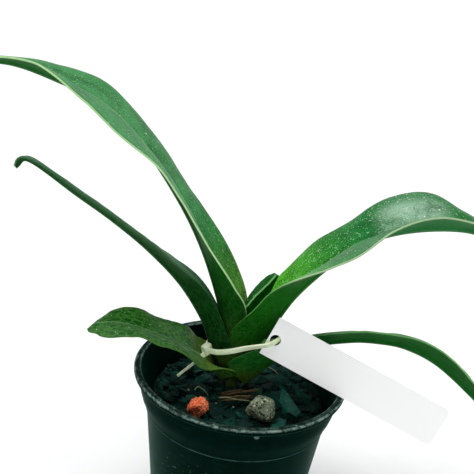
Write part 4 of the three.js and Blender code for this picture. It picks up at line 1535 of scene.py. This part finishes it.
def leaves() -> list[Leaf]:
    """The six leaves, from the middle of the fan outwards."""
    centre = LeafForm(
        "leaf_centre_new", side=RIGHT, nest=0,
        midrib=((-1.5, 0, 104.5), (0, 0, 113), (4, 0, 125), (8, 0, 139), (11, 0, 149)),
        half_width=9, base_share=0.7, taper_from=0.45, clasp=(0.3, 0.6), wrap=(80, 110, 105, 100),
        front=(20, 20, 24, 30, 40, 55, 75), back=(20, 22, 28, 36, 45, 55, 75))
    left_long = LeafForm(
        "leaf_left_long", side=LEFT, nest=1,
        midrib=((-7, 0, 98), (-9.5, 0, 112), (-15, 0, 132), (-25, 0, 157), (-38, 0, 180), (-57, 0, 205),
                (-77, 0, 222), (-99, 0, 231), (-123, 0, 236), (-148, 0, 231)),
        half_width=17, base_share=0.9, taper_from=0.62, clasp=(0.06, 0.2), wrap=(70, 110, 105, 100),
        front=(20, 20, 47, 68, 74, 77, 93, 86, 66, 76, 88), back=(15, 18, 42, 66, 80, 82, 81, 74, 83, 94, 100))
    right_long = LeafForm(
        "leaf_right_long", side=RIGHT, nest=2,
        midrib=((-0.5, 0, 93.5), (5, 0, 107.5), (12, 0, 120), (21, 0, 138), (33, 0, 154), (46, 0, 168),
                (63, 0, 177), (82, 0, 182), (100, 0, 183), (117, 0, 178), (132, 0, 170)),
        half_width=22, base_share=0.6, taper_from=0.6, clasp=(0.05, 0.24), wrap=(90, 118, 100, 80), slant=0.3,
        front=(15, 20, 35, 50, 69, 81, 65, 56, 63, 63, 60), back=(33, 46, 60, 73, 72, 78, 60, 55, 82, 88, 86))
    left_slender = LeafForm(
        "leaf_left_slender", side=LEFT, nest=3,
        midrib=((-8.5, 0, 91), (-15, 0, 103), (-21, 0, 119), (-34, 0, 138), (-51, 0, 154), (-69, 0, 167),
                (-87, 0, 178), (-110, 0, 192), (-117, 0, 188)),
        half_width=12, base_share=0.8, taper_from=0.55, clasp=(0.05, 0.24), wrap=(70, 95, 72, 60), slant=0.2,
        front=(25, 25, 25, 32, 48, 54, 59, 60, 61, 64, 76), back=(24, 32, 42, 58, 82, 96, 102, 103, 103, 106, 95))
    left_short = LeafForm(
        "leaf_left_short", side=LEFT, nest=4,
        midrib=((-9.5, 0, 88.5), (-14, -1, 95), (-18, -4, 101), (-24, -9, 106), (-33, -14, 113),
                (-48, -18, 120), (-60, -22, 124), (-70, -25, 124), (-74, -26, 121)),
        half_width=12, base_share=0.7, taper_from=0.6, clasp=(0.1, 0.26), wrap=(35, 95, 90, 80),
        front=(50, 60, 80, 84, 76, 76, 82, 78, 92, 118, 130), back=(60, 70, 80, 76, 70, 74, 80, 70, 77, 97, 120))
    right_low = LeafForm(
        "leaf_right_low", side=RIGHT, nest=5,
        midrib=((2, 0, 86), (8, 0, 93), (14, 1, 99.5), (28, 4, 109), (52, 6, 115), (68, 7, 116),
                (83, 8, 114), (101, 9, 106), (123, 10, 89), (137, 10, 76)),
        half_width=13, base_share=0.85, taper_from=0.6, clasp=(0.1, 0.24), wrap=(25, 95, 95, 80),
        front=(50, 50, 50, 44, 43, 44, 41, 45, 52, 57, 60), back=(70, 85, 95, 98, 98, 100, 88, 78, 70, 70, 70))
    return [
        Leaf(centre, LeafFinish(
            upper=(0.006, 0.1, 0.01), under=(0.003, 0.07, 0.005), base=(0.02, 0.16, 0.01), bloom=0.1,
            edge_start=0.05), steps=80),
        Leaf(left_long, LeafFinish(
            upper=(0.03, 0.2, 0.05), base=(0.12, 0.3, 0.04), edge=(0.5, 0.78, 0.38), edge_start=0.04,
            base_reach=0.34, bloom=0.14, sheen_centre=0.62, sheen_reach=0.35, painted_front_sheen=0.16), steps=170),
        Leaf(right_long, LeafFinish(
            upper=(0.012, 0.13, 0.03), under=(0.001, 0.08, 0.002), base=(0.08, 0.42, 0.01), base_reach=0.55,
            edge=(0.4, 0.56, 0.32), edge_start=0.26, under_fade=1.0, grain=0.5, bloom=0.95, sheen_centre=0.66,
            sheen_reach=0.12, painted_front_sheen=0.12, specks=0.5), half_steps=18, steps=160),
        Leaf(left_slender, LeafFinish(
            upper=(0.04, 0.16, 0.06), under=(0.001, 0.034, 0.004), base=(0.01, 0.09, 0.01), bloom=0.6,
            edge=(0.05, 0.15, 0.06), sheen_centre=0.4, sheen_reach=0.3)),
        Leaf(left_short, LeafFinish(
            upper=(0.006, 0.062, 0.008), under=(0.012, 0.085, 0.008), base=(0.12, 0.17, 0.008),
            foot=(0.05, 0.085, 0.006), net_colour=(0.07, 0.22, 0.03), edge=(0.06, 0.16, 0.03),
            base_reach=0.42, net=0.6, bloom=0.1, sheen_centre=0.4, painted_front_sheen=0.04, specks=0.05),
            slot="leaf_olive"),
        Leaf(right_low, LeafFinish(
            upper=(0.008, 0.085, 0.014), under=(0.002, 0.085, 0.007), foot=(0.06, 0.11, 0.01), bloom=0.15)),
    ]


def lumps() -> list[Lump | Sliver]:
    """The stones and bark slivers on the mix."""
    torn = BarkFinish((0.008, 0.009, 0.004), (0.2, 0.13, 0.055), (0.5, 0.5, 0.3),
                      fibre=(200.0, 2200.0, 2200.0), turn=(0.0, 0.0, -0.25))
    porous = StoneFinish(StoneKind.POROUS, (0.75, 0.1, 0.045), (1.0, 0.3, 0.13), (0.3, 0.04, 0.02))
    speckled = StoneFinish(StoneKind.SPECKLED, (0.09, 0.11, 0.07), (0.22, 0.26, 0.17), (0.01, 0.018, 0.012))
    split = StoneFinish(StoneKind.SPLIT, (0.002, 0.028, 0.018), (0.006, 0.07, 0.048), (0.015, 0.12, 0.085))
    return [
        Lump("lava_rock", "red_lava", porous, pits_mm=1.1, squeeze=0.86),
        Lump("grey_stone", "grey_gravel", speckled, pits_mm=0.35, shift=(0.0, 0.0, 1.9), breaks=(
            ((6.8, -22, 90.0), (-0.81, 0.35, 0.48)), ((6.9, -22, 81.4), (-0.38, -0.5, -0.78)))),
        Lump("slate_chip", "green_slate", split, cuts=4, smooth=0.0, pits_mm=0.25, pit_scale=0.5,
             shift=(-0.6, 0.0, 3.4), breaks=(((27.8, -17, 89.3), (0.73, 0.31, 0.61)),)),
        Sliver("bark_sliver_front", (20, 4.4, 2.6), (-2, -15.7, 87.2), (0.1, -0.06, 0.2), torn, seed=8),
        Sliver("bark_sliver_back", (23, 3.6, 2.4), (0, -10.8, 87.4), (0.2, -0.1, 0.32), torn, seed=21),
    ]


@dataclass
class Studio:
    """The pale floor, the soft lights and the camera."""

    camera_place: Triple = (-10.0, -356.0, 304.0)
    pitch: float = math.radians(21.2)
    roll: float = math.radians(6.9)
    focal_px: float = 800.0
    picture_px: float = 474.0
    floor_sweep: tuple[Ends, ...] = ((0, 0), (3, 0), (6, 0), (8, 0.3), (9.5, 1.2), (10.3, 2.6), (10.6, 5))
    sky_energy: float = 2.6
    sky_spread: float = 50.0
    sky_aim: Triple = (0.32, 0.05, -1.0)
    day_strength: float = 0.4
    panel_aim: Triple = (0.0, 0.0, 0.11)

    def floor(self) -> None:
        """A wide pale floor under the pot, which sweeps up far away."""
        skin = Skin("floor_paper", specular=0.2)
        grain = skin.net.group(grain_group(), vector=skin.object_place, scale=6.0, fine_share=0.3)
        colour = skin.net.blend(grain.outputs["Tone"], (0.84, 0.84, 0.84), (0.9, 0.9, 0.9))
        floor = meshed("floor", spun(self.floor_sweep, 48, 1e-4))
        floor.data.materials.append(skin.dress(colour, 0.8))

    def panel(self, name: str, place: Triple, size: Ends, power: float) -> None:
        """A soft rectangular lamp that points at the plant.

        Args:
            name: The lamp's name.
            place: Where it stands, in metres.
            size: Its width and height in metres.
            power: Its power in watts.
        """
        lamp = bpy.data.lights.new(name, "AREA")
        lamp.shape, lamp.energy = "RECTANGLE", power
        lamp.size, lamp.size_y = size
        holder = linked(name, lamp)
        holder.location = place
        aim = Vector(self.panel_aim) - Vector(place)
        holder.rotation_euler = aim.to_track_quat("-Z", "Y").to_euler()

    def sun(self) -> None:
        """A wide, soft sky light from high on the left."""
        lamp = bpy.data.lights.new("soft_sky", "SUN")
        lamp.energy, lamp.angle = self.sky_energy, math.radians(self.sky_spread)
        aim = Vector(self.sky_aim)
        linked("soft_sky", lamp).rotation_euler = aim.to_track_quat("-Z", "Y").to_euler()

    def camera(self) -> None:
        """The camera at the photo's place, tilted and rolled as it was."""
        forward = Vector((0, math.cos(self.pitch), -math.sin(self.pitch)))
        level_up = Vector((0, math.sin(self.pitch), math.cos(self.pitch)))
        right = Vector((1, 0, 0)) * math.cos(self.roll) + level_up * math.sin(self.roll)
        up = Vector((-1, 0, 0)) * math.sin(self.roll) + level_up * math.cos(self.roll)
        turn = Matrix((right, up, -forward)).transposed().to_4x4()
        lens = bpy.data.cameras.new("photo_view")
        lens.sensor_fit, lens.sensor_width = "HORIZONTAL", 36.0
        lens.lens = self.focal_px / self.picture_px * lens.sensor_width
        lens.clip_start, lens.clip_end = 0.01, 200.0
        camera = linked("photo_view", lens)
        camera.matrix_world = Matrix.Translation(Vector(self.camera_place) * MM) @ turn
        bpy.context.scene.camera = camera

    def build(self) -> None:
        """Floor, world, lamps and camera."""
        self.floor()
        world = bpy.data.worlds.new("soft_day")
        world.use_nodes = True
        ground = world.node_tree.nodes["Background"]
        ground.inputs["Color"].default_value = (0.95, 0.98, 1.0, 1.0)
        ground.inputs["Strength"].default_value = self.day_strength
        bpy.context.scene.world = world
        bpy.context.scene.view_settings.view_transform = "Standard"
        self.sun()
        self.panel("left_panel", (-0.75, -0.1, 0.3), (0.2, 0.6), 0.35)
        self.panel("right_panel", (0.8, 0.0, 0.3), (0.16, 0.6), 0.8)
        self.camera()


def main() -> None:
    """Builds the orchid, its pot and the studio."""
    logging.basicConfig(level=logging.INFO, format="%(message)s")
    Pot().build()
    Mix().build()
    for lump in lumps():
        lump.build()
    Plant(leaves()).build()
    Tie().build()
    Tag().build()
    Studio().build()


if __name__ == "__main__":
    main()
